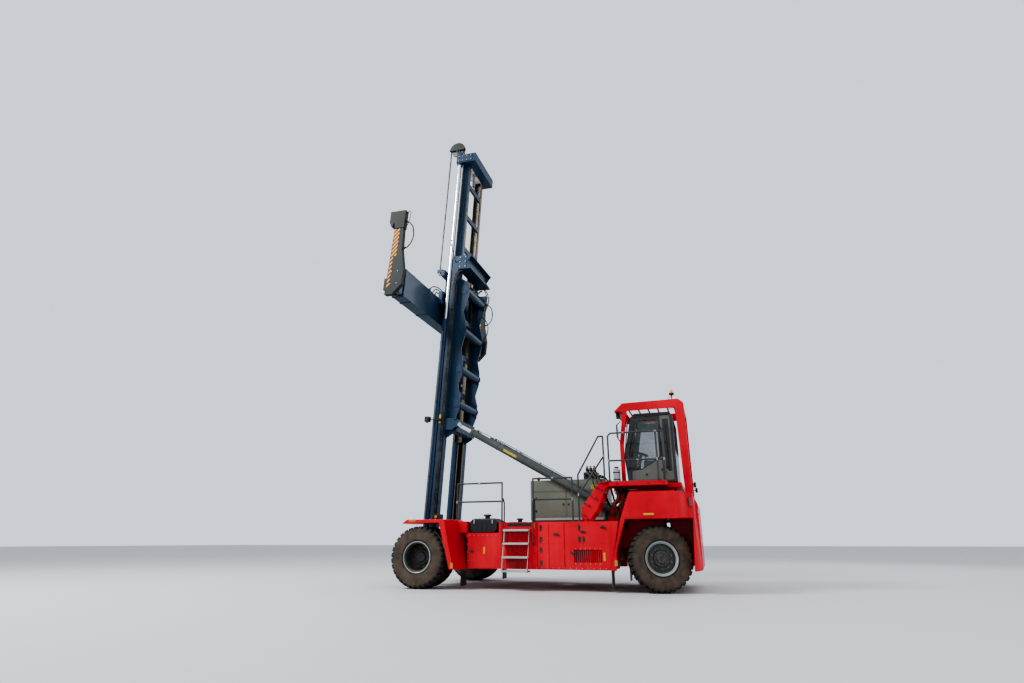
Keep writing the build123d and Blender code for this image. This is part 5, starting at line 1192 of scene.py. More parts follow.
# Lift cylinders: drawn tube barrels in the mast's colour with a screwed gland, a steel feed pipe up the
# side and four bands, and ground chrome rods that push the inner mast's head.
gland_steel = metal("gland_steel", (0.22, 0.22, 0.23), 0.35)
chrome = metal("hard_chrome", (0.78, 0.79, 0.81), 0.10, (1.0, 1.0, 0.05), 0.18)
weldment("lift_barrels", mast_shade_paint, 0.004)
weldment("lift_rods", chrome, 0.003)
glands = bmesh.new()
LIFT_X = 0.48
LIFT_Y = 0.70
BAND_Z = (-0.52, 1.55, 3.60, 5.35)
FEED_PIPE = ((0.48, 0.826, -0.56), (0.49, 0.826, -0.35), (0.49, 0.826, 2.5), (0.49, 0.826, 5.30),
             (0.485, 0.812, 5.62), (0.48, 0.795, 5.66))
for name, sign in SIDES:
    bands = bmesh.new()
    for z in BAND_Z:
        turned(((0.096, z - 0.020), (0.1035, z - 0.020), (0.1035, z + 0.020), (0.096, z + 0.020)), 36, bands)
    bmesh.ops.rotate(bands, matrix=Matrix.Rotation(math.pi / 2, 3, "X"), verts=bands.verts)
    bmesh.ops.translate(bands, vec=(LIFT_X, sign * LIFT_Y, 0), verts=bands.verts)
    rod_into(glands, LIFT_X, sign * LIFT_Y, (6.02, 6.075), 0.090, 36, 0.078)
    for step in range(6):
        angle = math.radians(step * 60 + 15)
        x, y = LIFT_X + 0.088 * math.cos(angle), sign * LIFT_Y + 0.088 * math.sin(angle)
        cube_into(glands, (x - 0.010, x + 0.010), (y - 0.010, y + 0.010), (6.045, 6.072))
    for z in BAND_Z:
        cube_into(bands, (0.470, 0.510), (sign * 0.795, sign * 0.836), (z - 0.018, z + 0.018))
    rod_into(bands, LIFT_X, (sign * 0.79, sign * 0.83), -0.56, 0.030, 20)
    mast_piece(f"lift_bands_{name}", bands, mast_shade_paint)
    run = [(x, sign * y, z) for x, y, z in FEED_PIPE]
    hose(f"lift_pipe_{name}", run, 0.011, gland_steel, "mast", MAST)
mast_piece("lift_glands", glands, gland_steel)

# Inner mast: the lifted channels, joined by a head box and box rungs. Its rollers have rubbed the flanges
# bare and brown, and shims and bolts hold the wear pads at its ends.
LIFTED = 3.3
HEAD_LOW = 8.11 + LIFTED
RUNG_STEP = 1.12


def inner_paint(at, out):
    """Rubbed steel on the flanges and inside the channels, polished rollers, enamel elsewhere."""
    here = on_mast(at)
    if here.z > HEAD_LOW - 0.01 or here.x < 0.175:
        return 0
    if abs(here.y) > 0.578:
        return 1
    return 1 if abs(here.y) > 0.437 and (here.x > 0.40 or abs(here.y) < 0.55 or abs(out.x) > 0.9) else 0


weldment("inner_mast", (mast_shade_paint, track_steel), 0.006, pick=inner_paint)
rubs = bmesh.new()
studs = bmesh.new()
for _, sign in SIDES:
    for step in range(7):
        z = HEAD_LOW - 0.70 - step * RUNG_STEP
        for rise in (-0.05, 0.05):
            rod_into(studs, (0.190, 0.1775), sign * 0.40, z + rise, 0.013, 12, 0.010)
        cube_into(rubs, (0.1795, 0.186), (sign * 0.36, sign * 0.4395), (z - 0.072, z + 0.072))
    for z in (4.02, 4.35):
        rod_into(rubs, 0.31, (sign * 0.432, sign * 0.442), z, 0.040, 24)
        bolt_ring(studs, (0.31, sign * 0.433, z), (0, -sign, 0), 0.026, 3, 0.012)
    cube_into(rubs, (0.02, 0.55), (sign * 0.80, sign * 0.812), (HEAD_LOW + 0.03, HEAD_LOW + 0.27))
    rows = (HEAD_LOW + 0.07, HEAD_LOW + 0.23)
    bolts_into(studs, (0.07, 0.21, 0.35, 0.49), sign * 0.812, rows, (0, sign, 0), 0.024)
    seat = [(LIFT_X, sign * LIFT_Y, HEAD_LOW + rise) for rise in (-0.028, 0.004, -0.026)]
    bar_into(rubs, seat[0], seat[1], 0.092, 32)
    bolt_ring(studs, seat[2], (0, 0, -1), 0.077, 6, 0.016)
rows = (HEAD_LOW + 0.06, HEAD_LOW + 0.24)
bolts_into(studs, -0.080, (-0.60, -0.20, 0.20, 0.60), rows, (-1, 0, 0), 0.026)
mast_piece("inner_plates", rubs, mast_shade_paint, "mast_inner")
mast_piece("inner_studs", studs, bolt_steel, "mast_inner")

# Chain sheaves: cast wheels on a fixed pin between two bracket plates over the mast's head, with a
# half-moon guard in grey-green that keeps the chain on. A leaf chain lies over each.
SHEAVE = Vector((0.593, 0.70, HEAD_LOW + 0.54))
CHAIN_R = 0.232
PITCH = 0.0508
LINK_HALF = PITCH * 0.5 + 0.011
guard_paint = enamel("guard_enamel", (0.036, 0.044, 0.040), 0.60, 0.0, 0.15, 0.5)


def sheave_paint(at, out):
    """The guard in grey-green, the wheel in rubbed steel and the brackets in the mast's colour."""
    here = on_mast(at)
    from_pin = math.hypot(here.x - SHEAVE.x, here.z - SHEAVE.z)
    if abs(here.y) > 0.764 or from_pin > 0.246:
        return 1
    return 2 if 0.667 < abs(here.y) < 0.733 else 0


weldment("sheaves", (mast_shade_paint, guard_paint, track_steel), 0.003, pick=sheave_paint)


def link_into(bm, middle, turn, row):
    """One pitch of leaf chain: two outer plates or three inner ones, and the pin at its foot."""
    place = Matrix.Translation(middle) @ turn
    lanes = (-0.022, 0.022) if row % 2 else (-0.014, 0.0, 0.014)
    for lane in lanes:
        plate = cube_into(bm, (-0.0125, 0.0125), (lane - 0.0032, lane + 0.0032), (-LINK_HALF, LINK_HALF))
        across = [edge for edge in edges_of(plate) if abs(edge.verts[0].co.y - edge.verts[1].co.y) > 0.005]
        move_rounded(bm, round_off(bm, across, 0.0085), plate, place)
    pin = rod_into(bm, 0, (-0.027, 0.027), -PITCH / 2, 0.0075, 8)
    bmesh.ops.transform(bm, matrix=place, verts=pin)


chain_steel = metal("chain_steel", (0.13, 0.125, 0.12), 0.42, stain=0.6)
wraps = bmesh.new()
trims = bmesh.new()
for _, sign in SIDES:
    centre = Vector((SHEAVE.x, sign * SHEAVE.y, SHEAVE.z))
    for step in range(14):
        angle = math.radians(8 + step * 12.62)
        middle = centre + Vector((math.cos(angle), 0, math.sin(angle))) * CHAIN_R
        link_into(wraps, middle, Matrix.Rotation(-angle, 4, "Y"), step)
    out = Vector((0, sign, 0))
    bar_into(trims, centre + out * 0.074, centre + out * 0.086, 0.052, 28)
    bolt_ring(trims, centre + out * 0.085, out, 0.030, 4, 0.016)
    length, height = (SHEAVE.x - 0.275, SHEAVE.x + 0.275), (SHEAVE.z - 0.022, SHEAVE.z + 0.022)
    cube_into(trims, length, (sign * 0.771, sign * 0.781), height)
    bolts_into(trims, (SHEAVE.x - 0.245, SHEAVE.x + 0.245), sign * 0.781, SHEAVE.z, out, 0.022)
    feet = (sign * 0.625, sign * 0.775)
    bolts_into(trims, (0.37, 0.47, 0.57), feet, HEAD_LOW + 0.30, (0, 0, 1), 0.022)
mast_piece("chain_wraps", wraps, chain_steel, "mast_inner")
mast_piece("sheave_trims", trims, guard_paint, "mast_inner")

# Lift chains: leaf chain of flat links on pins, greased dark. The front fall of each chain carries the
# carriage and the rear one is held by an anchor bolt on the outer mast's head.
REAR_X = SHEAVE.x - CHAIN_R
FRONT_X = SHEAVE.x + CHAIN_R
for fall, x, foot, other, end in (("front", FRONT_X, 7.7005, "carriage", "chains_front"),
                                  ("rear", REAR_X, 8.0915, "mast", "chains_rear")):
    links = bmesh.new()
    top = SHEAVE.z - 0.002
    rows = round((top - foot) / PITCH)
    pitch = (top - foot) / rows
    for _, sign in SIDES:
        for row in range(rows):
            middle = Vector((x, sign * SHEAVE.y, foot + (row + 0.5) * pitch))
            link_into(links, middle, Matrix.Identity(4), row)
    chain = piece_of(f"chain_links_{fall}", links, chain_steel, None, MAST, (end,))
    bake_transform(chain)

# Carriage: side plates with rollers inside the inner mast, cross members and a face plate for the beam.
# The chains end in threaded anchors on it, and a valve bank with hoses feeds the spreader.
weldment("carriage", (mast_shade_paint, track_steel), 0.006,
         pick=lambda at, out: 1 if 0.44 < abs(at.y) < 0.56 and on_mast(at).x < 0.44 else 0)
anchors = bmesh.new()
for _, sign in SIDES:
    for y in (0.678, 0.722):
        rod_into(anchors, 0.825, sign * y, (7.56, 7.66), 0.013, 12)
    rod_into(anchors, 0.825, sign * 0.70, (7.50, 7.60), 0.020, 16)
    for z in (7.52, 7.555):
        rod_into(anchors, 0.825, sign * 0.70, (z, z + 0.022), 0.034, 6)
    cube_into(anchors, (0.795, 0.855), (sign * 0.672, sign * 0.728), (7.655, 7.70))
    for z in (6.02, 7.50):
        bolt_ring(anchors, (0.31, sign * 0.362, z), (0, -sign, 0), 0.030, 3, 0.014)
bolts_into(anchors, 0.620, (-0.72, -0.54, -0.42, 0.42, 0.54, 0.72), (6.62, 6.88), (-1, 0, 0), 0.030)
mast_piece("carriage_anchors", anchors, bolt_steel, "carriage")
bank = bmesh.new()
cube_into(bank, (0.745, 0.845), (-0.34, 0.34), (6.98, 7.13))
for step in range(6):
    y = -0.275 + step * 0.11
    rod_into(bank, 0.795, y, (7.13, 7.20), 0.024, 20)
    rod_into(bank, (0.845, 0.885), y, 7.055, 0.020, 6)
cube_into(bank, (0.745, 0.755), (-0.40, 0.40), (6.94, 7.20))
mast_piece("valve_bank", bank, grey_plastic, "carriage")
BANK_HOSES = (  # Y at the bank, height of the bow, Y on the beam
    (0.275, 7.10, 0.62), (0.165, 7.18, 0.80), (0.055, 7.24, 1.05), (-0.055, 7.20, -0.66),
    (-0.165, 7.14, -0.86), (-0.275, 7.08, -1.08))
fittings = bmesh.new()
for number, (y, top, drop) in enumerate(BANK_HOSES):
    run = [(0.885, y, 7.055), (0.965, y * 1.05, top - 0.03), (1.00, (y + drop) / 2, top - 0.02),
           (0.98, drop * 0.92, 6.94), (0.93, drop, 6.83)]
    hose(f"carriage_hose_{number}", run, 0.016, hose_rubber, "carriage", MAST)
    rod_into(fittings, 0.925, drop, (6.745, 6.835), 0.024, 12)
mast_piece("beam_unions", fittings, gland_steel, "carriage")

# Spreader beam: a welded box across the carriage, open at its ends for the telescopic arms. It carries
# the side-shift cylinder, guide pads at its mouths and a row of flat covers along the front.
BEAM_FRONT = 1.10
BEAM_LOW = 5.98
BEAM_TOP = 6.75
SHIFT_X = 0.895
SHIFT_Z = 6.825
COVER_Y = (0.55, 1.85)
SHIFT_HOSES = (
    ("low", ((0.93, 0.62, 6.84), (0.99, 0.50, 6.92), (0.98, 0.32, 6.93), (0.93, 0.16, 6.87))),
    ("high", ((0.93, -0.66, 6.84), (0.99, -0.82, 6.92), (0.98, -0.98, 6.93), (0.93, -1.08, 6.87))))


def beam_paint(at, out):
    """The side-shift cylinder's rod in chrome, the box in the mast's colour."""
    here = on_mast(at)
    off_axis = math.hypot(here.x - SHIFT_X, here.z - SHIFT_Z)
    return 1 if here.z > 6.79 and 0.252 < here.y < 1.149 and off_axis < 0.032 else 0


weldment("spreader_beam", (mast_shade_paint, chrome), 0.007, pick=beam_paint)
ribs = bmesh.new()
back, front = BEAM_FRONT - 0.002, BEAM_FRONT + 0.012
for _, sign in SIDES:
    for y in (2.70, 2.28, 1.35):
        width = flank(sign, y, -0.025, 0.025)
        cube_into(ribs, (back, front), width, (BEAM_LOW + 0.004, BEAM_TOP - 0.004))
        cube_into(ribs, (0.75, front), width, (BEAM_TOP - 0.002, BEAM_TOP + 0.012))
        cube_into(ribs, (0.75, front), width, (BEAM_LOW - 0.012, BEAM_LOW + 0.002))
    for y in COVER_Y:
        plate_into(ribs, (back, BEAM_FRONT + 0.008), flank(sign, y, -0.22, 0.22), (6.16, 6.56))
for y in (-1.17, 0.225, 1.125):
    cube_into(ribs, (0.80, 0.99), (y - 0.05, y + 0.05), (BEAM_TOP - 0.002, BEAM_TOP + 0.010))
for y in (-1.02, -0.35, 0.18):
    rod_into(ribs, SHIFT_X, (y - 0.012, y + 0.012), SHIFT_Z, 0.0535, 32)
mast_piece("beam_ribs", ribs, mast_shade_paint, "carriage")
studs = bmesh.new()
for _, sign in SIDES:
    for y in COVER_Y:
        edges = flank(sign, y, -0.19, 0.19)
        bolts_into(studs, BEAM_FRONT + 0.008, edges, (6.19, 6.36, 6.53), (1, 0, 0), 0.024)
    bolts_into(studs, front, sign * 2.70, (6.06, 6.24, 6.49, 6.67), (1, 0, 0), 0.030)
bolts_into(studs, (0.815, 0.975), (-1.165, 0.225, 1.125), BEAM_TOP + 0.010, (0, 0, 1), 0.022)
mast_piece("beam_studs", studs, bolt_steel, "carriage")
for name, run in SHIFT_HOSES:
    hose(f"shift_hose_{name}", run, 0.012, hose_rubber, "carriage", MAST)

# Arms and end posts: box arms that slide one in front of the other, rubbed bare above and below, with
# a tall post at each end. Hazard stripes run up the post's front edge to the grey-green hook head.
POST_AT = 3.02
POST_HALF = 0.065
POST_LOW = 5.90
POST_TOP = 7.83
POST_FRONT = ((1.095, 6.10), (1.080, 6.55), (1.068, 7.00), (1.056, 7.40), (1.046, 7.80))
POST_HOSE = ((0.77, 7.22), (0.64, 7.27), (0.52, 7.46), (0.51, 7.72), (0.62, 7.96), (0.775, 8.06))
POST_CABLE = ((0.77, 8.30), (0.68, 8.34), (0.66, 8.20), (0.70, 7.98), (0.78, 7.80))


def striped(name, dark, light, pitch):
    """Enamel with slanting hazard stripes, scuffed along their edges."""
    material, shader, tree = finish_of(name, {"Metallic": 0.0, "Specular IOR Level": 0.3})
    place = object_place(tree)
    parts = [Shade.node(tree, "ShaderNodeSeparateXYZ", {}, {0: place}, axis) for axis in ("X", "Y", "Z")]
    run = (parts[0] + parts[1] + parts[2]) / pitch
    saw = Shade.node(tree, "ShaderNodeMath", {"operation": "FRACT"}, {0: run})
    stripe = saw.between(0.49, 0.51)
    scuff = mottle(place, 22.0, 6.0).between(0.60, 0.66) * 0.8
    feed(shader, "Base Color", colour_mix(scuff, colour_mix(stripe, dark, light), BARE))
    feed(shader, "Roughness", 0.55 + scuff * 0.2)
    feed(shader, "Normal", relief(mottle(place, 150.0, 2.0), 0.08, 0.001))
    return material


# The arms share the mast's blue, which is painted sky-lit shade on dark grey paint.
arm_shade_paint = enamel("arm_shade_enamel", MAST_SKY_SHADE, 0.42, 0.1, 0.15, 1.0)
post_paint = enamel("post_enamel", (0.028, 0.035, 0.036), 0.60, 0.0, 0.12, 1.0)
head_paint = enamel("head_enamel", (0.024, 0.030, 0.028), 0.60, 0.0, 0.15, 0.8)
hazard_paint = striped("hazard_stripes", (0.010, 0.012, 0.014), (0.85, 0.36, 0.005), 0.115)
red_glass = lamp_glass("lamp_red_glass", (0.42, 0.008, 0.010), 0.05)


def post_finish(at, out):
    """Stripes on the front edge below the hook head, and the head in its own grey-green."""
    here = on_mast(at)
    if here.z > POST_TOP - 0.02:
        return 2
    forward = (MAST.to_3x3().inverted() @ out).x
    return 1 if forward > 0.9 and here.z < POST_TOP else 0


for side, sign in SIDES:
    body = f"arm_{side}"
    weldment(body, (arm_shade_paint, track_steel), 0.005,
             pick=lambda at, out: 1 if abs(out.z) > 0.9 else 0)
    weldment(f"end_post_{side}", (post_paint, hazard_paint, head_paint), 0.008,
             pick=post_finish)
    bands = bmesh.new()
    for low, high in zip(POST_FRONT, POST_FRONT[1:]):
        for half in (-1, 1):
            y = sign * (POST_AT + half * POST_HALF)
            wide = 0.075 if low[1] < 6.9 else 0.16
            panel = cube_into(bands, (-wide, -0.008), (y, y + sign * half * 0.003), (low[1], high[1]))
            for vert in panel:
                share = (vert.co.z - low[1]) / (high[1] - low[1])
                vert.co.x += low[0] + (high[0] - low[0]) * share
    mast_piece(f"post_stripes_{side}", bands, hazard_paint, body)
    irons = bmesh.new()
    near, far = POST_AT - POST_HALF - 0.015, POST_AT + POST_HALF + 0.015
    cheek, cap = (POST_TOP + 0.20, POST_TOP + 0.46), (POST_TOP + 0.511, POST_TOP + 0.522)
    plate_into(irons, (0.79, 1.20), flank(sign, near, -0.004, 0.004), cheek, 0.003)
    plate_into(irons, (0.765, 1.235), (sign * (near - 0.010), sign * (far - 0.001)), cap, 0.003)
    pin_z = POST_TOP + 0.10
    rod_into(irons, 1.155, (sign * (POST_AT - 0.10), sign * (far - 0.002)), pin_z, 0.034, 20)
    for z in (POST_LOW + 0.19, POST_LOW + 0.44):
        for y in flank(sign, POST_AT, -0.022, 0.022):
            rod_into(irons, (1.170, 1.1905), y, z, 0.008, 12)
    mast_piece(f"hook_irons_{side}", irons, head_paint, body)
    screws = bmesh.new()
    rows = (POST_TOP + 0.24, POST_TOP + 0.42)
    bolts_into(screws, (0.83, 0.95, 1.07, 1.16), sign * (near - 0.004), rows, (0, -sign, 0), 0.022)
    bolts_into(screws, (0.80, 0.98), sign * (POST_AT + POST_HALF), (6.20, 6.55), (0, sign, 0), 0.018)
    mast_piece(f"post_screws_{side}", screws, bolt_steel, body)
    inner = POST_AT - POST_HALF
    lamp_box = bmesh.new()
    lamp_lens = bmesh.new()
    plate_into(lamp_box, (0.81, 0.93), flank(sign, inner, -0.040, -0.001), (7.62, 7.74), 0.006)
    foot, tip = flank(sign, inner, -0.036, -0.056)
    rod_into(lamp_lens, 0.87, (foot, tip), 7.68, 0.042, 24, 0.030)
    mast_piece(f"post_lamp_{side}", lamp_box, black_plastic, body)
    mast_piece(f"post_lens_{side}", lamp_lens, red_glass, body)
    for name, run, thick in (("hose", POST_HOSE, 0.018), ("cable", POST_CABLE, 0.009)):
        bends = [(x, sign * POST_AT, z) for x, z in run]
        hose(f"post_{name}_{side}", bends, thick, hose_rubber, body, MAST)

# Tilt cylinders: grey-green barrels with a gland nut and two pipes along the top in clips, and chrome
# rods whose eyes turn on the mast's pins.
TILT_EYE = Vector((-4.35, 0, 1.73))
RUN = Vector((-0.25, 0, 4.05)) - TILT_EYE
AIM = RUN.normalized()
UP = Vector((-AIM.z, 0, AIM.x))
TILT_Y = 0.70
BARREL_RUN = RUN.length - 0.48
barrel_paint = enamel("cylinder_enamel", (0.062, 0.073, 0.067), 0.40, 0.3, 0.3, 0.6)


def on_cylinder(along, sign, over=0.0, beside=0.0):
    """A place by the cylinder's axis: so far along it from the chassis eye, over it and beside it."""
    return TILT_EYE + AIM * along + UP * over + Vector((0, sign * (TILT_Y + beside), 0))


for side, sign in SIDES:
    barrel = f"tilt_barrel_{side}"
    rod = f"tilt_rod_{side}"
    weldment(barrel, barrel_paint, 0.004)
    weldment(rod, (chrome, barrel_paint), 0.003,
             pick=lambda at, out: 1 if (at - TILT_EYE).dot(AIM) > RUN.length - 0.11 else 0)
    rings = bmesh.new()
    bar_into(rings, on_cylinder(BARREL_RUN - 0.075, sign), on_cylinder(BARREL_RUN - 0.004, sign), 0.098, 40)
    bar_into(rings, on_cylinder(0.16, sign), on_cylinder(0.20, sign), 0.095, 36)
    for along in (0.95, 1.75, 2.55, 3.35):
        bar_into(rings, on_cylinder(along - 0.014, sign), on_cylinder(along + 0.014, sign), 0.092, 36)
        bar_into(rings, on_cylinder(along, sign, 0.085), on_cylinder(along, sign, 0.125), 0.016, 10)
    for along in (0.30, BARREL_RUN - 0.16):
        bar_into(rings, on_cylinder(along, sign, 0.07), on_cylinder(along, sign, 0.135), 0.028, 20)
    machine_piece(f"cylinder_rings_{side}", rings, barrel_paint, barrel)
    for number, beside in enumerate((-0.014, 0.018)):
        far = BARREL_RUN - (0.16 if number else 1.0)
        run = ((0.34, 0.110), (0.55, 0.128), (1.6, 0.128), (2.6, 0.128), (far - 0.20, 0.128), (far, 0.112))
        bends = [on_cylinder(along, sign, over, beside) for along, over in run]
        hose(f"cylinder_pipe_{side}_{number}", bends, 0.009, gland_steel, barrel)
    label = bmesh.new()
    strip = cube_into(label, (-0.20, 0.20), (0.087, 0.0895), (-0.028, 0.028))
    turn = Matrix((AIM, Vector((0, 1, 0)), UP)).transposed().to_4x4()
    place = Matrix.Translation(on_cylinder(2.95, sign)) @ turn @ Matrix.Diagonal((1, sign, 1, 1))
    bmesh.ops.transform(label, matrix=place, verts=strip)
    if sign < 0:
        bmesh.ops.reverse_faces(label, faces=label.faces)
    machine_piece(f"cylinder_mark_{side}", label, yellow_glass, barrel)

# Driver's seat: foam cushions in woven cloth, each blown up a little from a rounded block so that its
# sides crown, on a plastic pan.
SEAT_Z = 2.76
MAX_TRAVEL = 0.010


def seat_cloth():
    """Coarse upholstery cloth: crossed threads, with paler worn patches."""
    material, shader, tree = finish_of("seat_cloth", {"Metallic": 0.0, "Roughness": 0.9, "Sheen Weight": 0.3})
    place = object_place(tree)
    fine = {"Vector": place, "Scale": 160.0}
    threads = [Shade.node(tree, "ShaderNodeTexWave", {"bands_direction": axis}, fine) for axis in "XYZ"]
    weave = (threads[0] + threads[1] + threads[2]) / 3
    worn = mottle(place, 7.0, 4.0).between(0.45, 0.7)
    feed(shader, "Base Color", colour_mix(worn * 0.4, (0.045, 0.048, 0.055), (0.10, 0.105, 0.115)))
    feed(shader, "Normal", relief(weave, 0.3, 0.001))
    return material


def mesh_of(piece):
    """The piece's mesh as its modifiers leave it."""
    return bpy.data.meshes.new_from_object(piece.evaluated_get(bpy.context.evaluated_depsgraph_get()))


def cushion(name, middle, size, lean, cloth):
    """A foam cushion: a block blown up as cloth, with its points held to a few millimetres of travel."""
    bm = bmesh.new()
    bmesh.ops.create_cube(bm, size=1.0, matrix=Matrix.Diagonal((*size, 1)))
    round_off(bm, list(bm.edges), 0.026, 3)
    turn = Matrix.Translation(Vector(middle)) @ Matrix.Rotation(lean, 4, "Y")
    pad = piece_of(name, bm, cloth, None, MACHINE @ turn, even=False)
    voxels = pad.modifiers.new("even_mesh", "REMESH")
    voxels.mode = "VOXEL"
    voxels.voxel_size = 0.012
    bpy.context.view_layer.update()
    even = mesh_of(pad)
    pad.modifiers.remove(voxels)
    pad.data = even
    before = [vert.co.copy() for vert in even.vertices]
    blown = pad.modifiers.new("blown", "CLOTH")
    blown.settings.use_pressure = True
    blown.settings.uniform_pressure_force = 4.0
    blown.settings.effector_weights.gravity = 0.0
    blown.point_cache.frame_end = 20
    for frame_number in range(1, 21):
        scene.frame_set(frame_number)
    shape = mesh_of(pad)
    pad.modifiers.remove(blown)
    for vert, start in zip(shape.vertices, before):
        travel = vert.co - start
        if travel.length > MAX_TRAVEL:
            vert.co = start + travel.normalized() * MAX_TRAVEL
    pad.data = shape
    scene.frame_set(1)
    for polygon in pad.data.polygons:
        polygon.use_smooth = True
    finer = pad.modifiers.new("finer", "SUBSURF")
    finer.levels = 1
    finer.render_levels = 1
    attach(pad, "chassis")
    return pad


cloth = seat_cloth()
cushions = [cushion("seat_cushion", (-5.315, 0, SEAT_Z + 0.072), (0.455, 0.46, 0.088), 0.0, cloth),
            cushion("seat_back", (-5.545, 0, SEAT_Z + 0.415), (0.078, 0.44, 0.56), math.radians(-9), cloth),
            cushion("seat_head", (-5.625, 0, SEAT_Z + 0.810), (0.050, 0.22, 0.145), math.radians(-8), cloth)]
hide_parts("seat")
pan = bmesh.new()
plate_into(pan, (-5.555, -5.09), (-0.235, 0.235), (SEAT_Z + 0.002, SEAT_Z + 0.022), 0.006)
plate_into(pan, (-0.012, 0.006), (-0.20, 0.20), (-0.28, 0.28), 0.006,
           Matrix.Translation((-5.595, 0, SEAT_Z + 0.40)) @ Matrix.Rotation(math.radians(-9), 4, "Y"))
for y in (-0.06, 0.06):
    bar_into(pan, (-5.615, y, SEAT_Z + 0.66), (-5.632, y, SEAT_Z + 0.76), 0.007, 12)
rod_into(pan, (-5.55, -5.50), -0.262, SEAT_Z + 0.10, 0.03, 20)
machine_piece("seat_pan", pan, black_plastic)

# Console, column and dash: moulded covers over welded frames. A lever stands on the arm rest, a screen
# and switches on the dash, and two pedals are hinged to the floor.
weldment("cab_console", black_plastic, 0.006)
FLOOR_Z = 2.41
controls = bmesh.new()
bar_into(controls, (-5.12, -0.36, FLOOR_Z + 0.575), (-5.10, -0.36, FLOOR_Z + 0.70), 0.012, 12)
knob = Matrix.Translation((-5.095, -0.36, FLOOR_Z + 0.72))
bmesh.ops.create_icosphere(controls, subdivisions=3, radius=0.030, matrix=knob)
rod_into(controls, -5.12, -0.36, (FLOOR_Z + 0.578, FLOOR_Z + 0.610), 0.036, 20, 0.018)
key_z = (FLOOR_Z + 0.578, FLOOR_Z + 0.589)
for row in range(4):
    for column in range(2):
        x, y = -5.42 + row * 0.055, -0.385 + column * 0.05
        plate_into(controls, (x - 0.018, x + 0.018), (y - 0.016, y + 0.016), key_z, 0.003)
pedal = Matrix.Translation((-4.92, 0, FLOOR_Z + 0.09)) @ Matrix.Rotation(math.radians(-40), 4, "Y")
for y in (-0.17, 0.20):
    plate_into(controls, (-0.06, 0.06), (y - 0.045, y + 0.045), (-0.009, 0.009), 0.004, pedal)
    bar_into(controls, (-4.86, y, FLOOR_Z + 0.003), (-4.90, y, FLOOR_Z + 0.07), 0.012, 12)
for y in (-0.45, -0.37, -0.29, 0.30, 0.38, 0.46):
    plate_into(controls, (-4.893, -4.879), (y - 0.026, y + 0.026), (2.80, 2.845), 0.003)
machine_piece("cab_controls", controls, grey_plastic)
screen = bmesh.new()
plate_into(screen, (-4.935, -4.905), (-0.56, -0.26), (2.93, 3.12), 0.008)
bar_into(screen, (-4.86, -0.41, 2.87), (-4.91, -0.41, 3.00), 0.012, 12)
machine_piece("cab_screen", screen, black_plastic)
face = bmesh.new()
plate_into(face, (-4.9375, -4.934), (-0.545, -0.275), (2.945, 3.105), 0.0015)
machine_piece("screen_face", face, lamp_glass("screen_glass", (0.02, 0.03, 0.04)))

# Railings: bent steel tube in dark grey, with a pressed collar at every joint and a bolted flange at
# every foot.
RAIL_Y = PLATFORM_Y - 0.025
STAIR_RAIL_Y = 1.522
LOW_RAIL_Y = 1.56
POSTS = (  # X, Y, collar, foot where it has a flange
    (-4.445, RAIL_Y, 2.78, PLATFORM_Z), (-5.68, RAIL_Y, 2.78, PLATFORM_Z), (-5.53, RAIL_Y, 2.78, PLATFORM_Z),
    (-3.70, STAIR_RAIL_Y, 2.05, 1.46), (-4.32, STAIR_RAIL_Y, 2.90, None), (-2.62, LOW_RAIL_Y, 1.96, 1.46),
    (-3.56, LOW_RAIL_Y, 1.96, 1.46), (-0.69, LOW_RAIL_Y, 1.94, FENDER_TOP), (-1.85, LOW_RAIL_Y, 1.94, 1.46))
RAIL_JOINTS = ((-5.53, RAIL_Y, 3.41), (-4.80, RAIL_Y, 3.41), (-3.10, LOW_RAIL_Y, 2.44),
               (-1.27, LOW_RAIL_Y, 2.37), (-5.10, RAIL_Y, 2.78))
rail_paint = enamel("rail_enamel", (0.032, 0.037, 0.040), 0.34, 0.35, 0.4, 0.5)
collar_steel = metal("collar_steel", (0.30, 0.32, 0.33), 0.42)
weldment("railings", rail_paint, 0.002)
collars = bmesh.new()
flanges = bmesh.new()
for x, y, z, foot in POSTS:
    rod_into(collars, x, y, (z - 0.030, z + 0.030), 0.0235, 20)
    if foot:
        rod_into(flanges, x, y, (foot, foot + 0.009), 0.046, 28)
        rod_into(flanges, x, y, (foot, foot + 0.040), 0.027, 20)
        for turn in (30, 150, 270):
            around = Vector((math.cos(math.radians(turn)), math.sin(math.radians(turn)), 0)) * 0.036
            bolt_into(flanges, Vector((x, y, foot + 0.008)) + around, (0, 0, 1), 0.013)
for x, y, z in RAIL_JOINTS:
    rod_into(collars, (x - 0.025, x + 0.025), y, z, 0.0235, 20)
machine_piece("rail_collars", collars, collar_steel)
machine_piece("rail_flanges", flanges, rail_paint)

# Drive motor and pump: a ribbed aluminium motor on its bracket under the cab, with orange high-voltage
# cables to the cells, and the valve block with its solenoids and hoses on the battery box.
alloy = metal("cast_alloy", (0.33, 0.34, 0.35), 0.5, stain=0.7)
weldment("drive_motor", (black_paint, alloy), 0.006,
         pick=lambda at, out: 1 if at.z > 1.645 else 0)
weldment("valve_block", (black_paint, gland_steel), 0.005,
         pick=lambda at, out: 1 if at.z > 2.665 else 0)
ribs = bmesh.new()
for step in range(13):
    y = -0.228 + step * 0.038
    rod_into(ribs, -4.54, (y - 0.004, y + 0.004), 1.76, 0.182, 40)
plate_into(ribs, (-4.60, -4.48), (-0.16, 0.16), (1.915, 1.985), 0.008)
machine_piece("motor_ribs", ribs, alloy)
cable_cover = rubber("cable_orange", (0.75, 0.19, 0.02), 0.5, 160.0)
copper_pipe = metal("copper_pipe", (0.42, 0.20, 0.12), 0.4, stain=0.5)
for number, y in enumerate((-0.10, 0.0, 0.10)):
    run = [(-4.48, y, 1.955), (-4.40, y, 1.965), (-4.27, y * 1.3, 1.90), (-4.19, y * 1.6, 1.88),
           (-4.137, y * 1.8, 1.88)]
    hose(f"motor_cable_{number}", run, 0.015, cable_cover, "chassis")
coils = bmesh.new()
